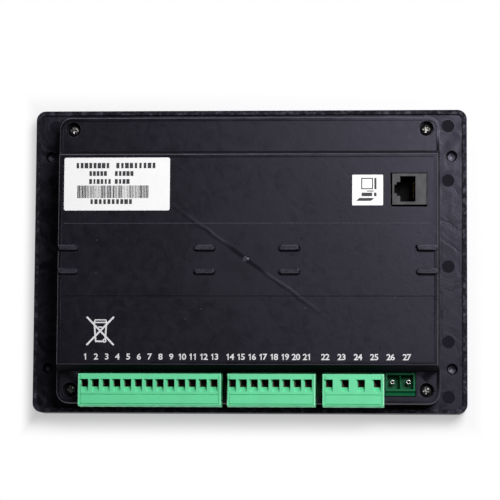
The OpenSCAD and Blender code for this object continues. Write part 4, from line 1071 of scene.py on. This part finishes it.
class GENSET_OT_inside(bpy.types.Operator):
    """Finish the boards and what stands on them"""

    bl_idname = "genset.inside"
    bl_label = "Boards and components"

    def execute(self, context):
        resist = board_resist()
        # Moulded epoxy: black and matt.
        epoxy = plastic("moulded_epoxy", "1e1e20", "18181a", 0.55)
        # Extruded aluminium: pale, with lines along its fins.
        aluminium = worn_metal("extruded_aluminium", "a4a7ab", "8b8e92", 0.4, (1, 1, 0.1))
        finishes = {
            "display_board": resist, "main_board": resist, "board_link": epoxy, "processor": epoxy,
            "voltage_regulator": epoxy, "heat_sink": aluminium,
            # Drawn steel can, bright.
            "clock_crystal": worn_metal("crystal_can_steel", "c0c2c5", "a2a5a9", 0.25, (1, 0.2, 1)),
            # Moulded PBT cases, satin blue.
            "relays": plastic("relay_pbt", "2a57a0", "244c8e", 0.4),
            # Shrunk PVC sleeves, glossy.
            "capacitors": plastic("pvc_sleeve", "30303a", "282832", 0.35),
            # Enamelled copper wire, brown.
            "power_choke": worn_metal("enamelled_copper", "b0722f", "935c22", 0.35, (1, 1, 0.2)),
            # Moulded nylon, cream and matt.
            "current_transformers": plastic("cream_nylon", "cbc6b6", "bfb9a8", 0.5),
            # Dipped epoxy, glossy blue.
            "surge_discs": plastic("blue_epoxy_coating", "2f62b5", "2a58a4", 0.38),
        }
        for node, material in finishes.items():
            finish_node(node, material)
        return {"FINISHED"}


class GENSET_OT_stage(bpy.types.Operator):
    """Set up the pale floor, the softbox light and the camera"""

    bl_idname = "genset.stage"
    bl_label = "Stage"
    softbox_place = Vector((0.28, 0.25, 0.66))
    softbox_size = 0.34
    floor_radius = 4.0
    floor_gap = 0.02 * MM
    # Widths beside the object over which the paper turns white, and its white share at the object
    shadow_widths = {"X": 9 * MM, "Y": 13 * MM}
    shadow_white = 0.45
    # Part of the studio's height over which the white horizon turns into the ceiling
    horizon = (0.25, 0.55)
    camera_aim = Vector((0.14 * MM, 5.2 * MM, 14 * MM))
    camera_back = Vector((0.065, -0.103, 0.9925))
    camera_roll = math.radians(0.36)
    sensor_width = 36.0

    def execute(self, context):
        props = context.scene.genset_stage
        scene = context.scene
        scene.view_settings.view_transform = "Standard"
        self.floor(props)
        self.world(props, scene)
        self.softbox(props)
        self.camera(props, scene)
        return {"FINISHED"}

    def floor(self, props):
        """White sweep that stays white to the camera, and takes the object's shadow."""
        shape = bmesh.new()
        bmesh.ops.create_circle(shape, cap_ends=True, segments=96, radius=self.floor_radius)
        bmesh.ops.translate(shape, verts=shape.verts, vec=(0, 0, CAD_BOX[0][2] - self.floor_gap))
        mesh = bpy.data.meshes.new("studio_floor")
        shape.to_mesh(mesh)
        shape.free()
        sweep = new_object("studio_floor", mesh)
        material = bpy.data.materials.new("white_studio_paper")
        material.use_nodes = True
        tree = material.node_tree
        tree.nodes.clear()
        place = add_node(tree, "ShaderNodeTexCoord").outputs["Object"]
        # Paper fibre, drawn coarser than it is, at 1.5 mm, to show.
        fibre = add_node(tree, "ShaderNodeTexNoise", {"Vector": place, "Scale": per_mm(1.5), "Detail": 3.0})
        bump = add_node(tree, "ShaderNodeBump", {"Height": fibre, "Distance": 0.01 * MM, "Strength": 0.2})
        paper = add_node(tree, "ShaderNodeBsdfDiffuse", {"Color": opaque(props.floor), "Normal": bump})
        glow = add_node(tree, "ShaderNodeEmission", {"Color": opaque((1, 1, 1)), "Strength": 1.0})
        path = add_node(tree, "ShaderNodeLightPath").outputs
        seen = path["Is Camera Ray"]
        for ray in ("Is Glossy Ray", "Is Transmission Ray"):
            seen = add_node(tree, "ShaderNodeMath", {0: seen, 1: path[ray]}, operation="MAXIMUM")
        # Further than the shadow reaches, the paper is as white as the backdrop.
        parts = add_node(tree, "ShaderNodeSeparateXYZ", {0: place}).outputs
        away = []
        for (axis, width), reach in zip(self.shadow_widths.items(), CAD_BOX[1]):
            across = add_node(tree, "ShaderNodeMath", {0: parts[axis]}, operation="ABSOLUTE")
            away.append(add_node(tree, "ShaderNodeMapRange", {0: across, 1: reach, 2: reach + width},
                                 interpolation_type="SMOOTHSTEP"))
        beside = add_node(tree, "ShaderNodeMath", {0: away[0], 1: away[1]}, operation="MAXIMUM")
        white = add_node(tree, "ShaderNodeMapRange", {0: beside, 3: self.shadow_white, 4: 1.0})
        share = add_node(tree, "ShaderNodeMath", {0: seen, 1: white}, operation="MULTIPLY")
        mix = add_node(tree, "ShaderNodeMixShader", {0: share, 1: paper, 2: glow})
        add_node(tree, "ShaderNodeOutputMaterial", {"Surface": mix})
        mesh.materials.append(material)

    def world(self, props, scene):
        """Studio round the object: white to the camera and near the horizon, a dim ceiling above."""
        world = bpy.data.worlds.new("white_studio")
        world.use_nodes = True
        tree = world.node_tree
        tree.nodes.clear()
        heading = add_node(tree, "ShaderNodeTexCoord").outputs["Generated"]
        height = add_node(tree, "ShaderNodeSeparateXYZ", {0: heading}).outputs["Z"]
        ceiling = add_node(tree, "ShaderNodeMapRange",
                           {0: height, 1: self.horizon[0], 2: self.horizon[1], 3: 1.0, 4: props.ceiling})
        camera = add_node(tree, "ShaderNodeLightPath").outputs["Is Camera Ray"]
        level = add_node(tree, "ShaderNodeMath", {0: ceiling, 1: camera}, operation="MAXIMUM")
        shell = add_node(tree, "ShaderNodeBackground", {"Color": opaque((1, 1, 1)), "Strength": level})
        add_node(tree, "ShaderNodeOutputWorld", {"Surface": shell})
        scene.world = world

    def softbox(self, props):
        """Square area lamp at the upper right that faces the object."""
        lamp = bpy.data.lights.new("key_softbox", "AREA")
        lamp.size = self.softbox_size
        lamp.energy = props.key_power
        lamp.color = (1.0, 0.985, 1.0)
        box = new_object("key_softbox", lamp)
        box.location = self.softbox_place
        box.rotation_euler = (-self.softbox_place).to_track_quat("-Z", "Y").to_euler()

    def camera(self, props, scene):
        """Camera almost straight above the rear, as in the photograph."""
        back = self.camera_back.normalized()
        right = Vector((0, 1, 0)).cross(back).normalized()
        axes = Matrix((right, back.cross(right), back)).transposed().to_4x4()
        view = bpy.data.cameras.new("photo_camera")
        view.lens = props.lens
        view.sensor_width = self.sensor_width
        view.clip_start = 0.01
        holder = new_object("photo_camera", view)
        holder.matrix_world = (Matrix.Translation(self.camera_aim + back * props.distance) @ axes
                               @ Matrix.Rotation(self.camera_roll, 4, "Z"))
        scene.camera = holder


OPERATORS = (GENSET_OT_casing, GENSET_OT_terminals, GENSET_OT_fasteners, GENSET_OT_data_socket,
             GENSET_OT_labels, GENSET_OT_print, GENSET_OT_front, GENSET_OT_inside, GENSET_OT_stage)
SETTINGS = {"genset_casing": GensetCasingSettings, "genset_terminals": GensetTerminalSettings,
            "genset_print": GensetPrintSettings, "genset_front": GensetFrontSettings,
            "genset_stage": GensetStageSettings}


class GENSET_PT_panel(bpy.types.Panel):
    """Settings and steps of the dressing"""

    bl_idname = "GENSET_PT_panel"
    bl_label = "Genset controller"
    bl_space_type = "VIEW_3D"
    bl_region_type = "UI"
    bl_category = "Genset"

    def draw(self, context):
        for name, kind in SETTINGS.items():
            box = self.layout.box()
            for prop in kind.__annotations__:
                box.prop(getattr(context.scene, name), prop)
        for operator in OPERATORS:
            self.layout.operator(operator.bl_idname)


def register():
    for kind in (*SETTINGS.values(), *OPERATORS, GENSET_PT_panel):
        bpy.utils.register_class(kind)
    for name, kind in SETTINGS.items():
        setattr(bpy.types.Scene, name, bpy.props.PointerProperty(type=kind))


def unregister():
    for name in SETTINGS:
        delattr(bpy.types.Scene, name)
    for kind in (GENSET_PT_panel, *reversed(OPERATORS), *SETTINGS.values()):
        bpy.utils.unregister_class(kind)


def main():
    register()
    bpy.ops.genset.casing()
    bpy.ops.genset.terminals()
    bpy.ops.genset.fasteners()
    bpy.ops.genset.data_socket()
    bpy.ops.genset.labels()
    bpy.ops.genset.cover_print()
    bpy.ops.genset.front()
    bpy.ops.genset.inside()
    bpy.ops.genset.stage()


if __name__ == "__main__":
    main()
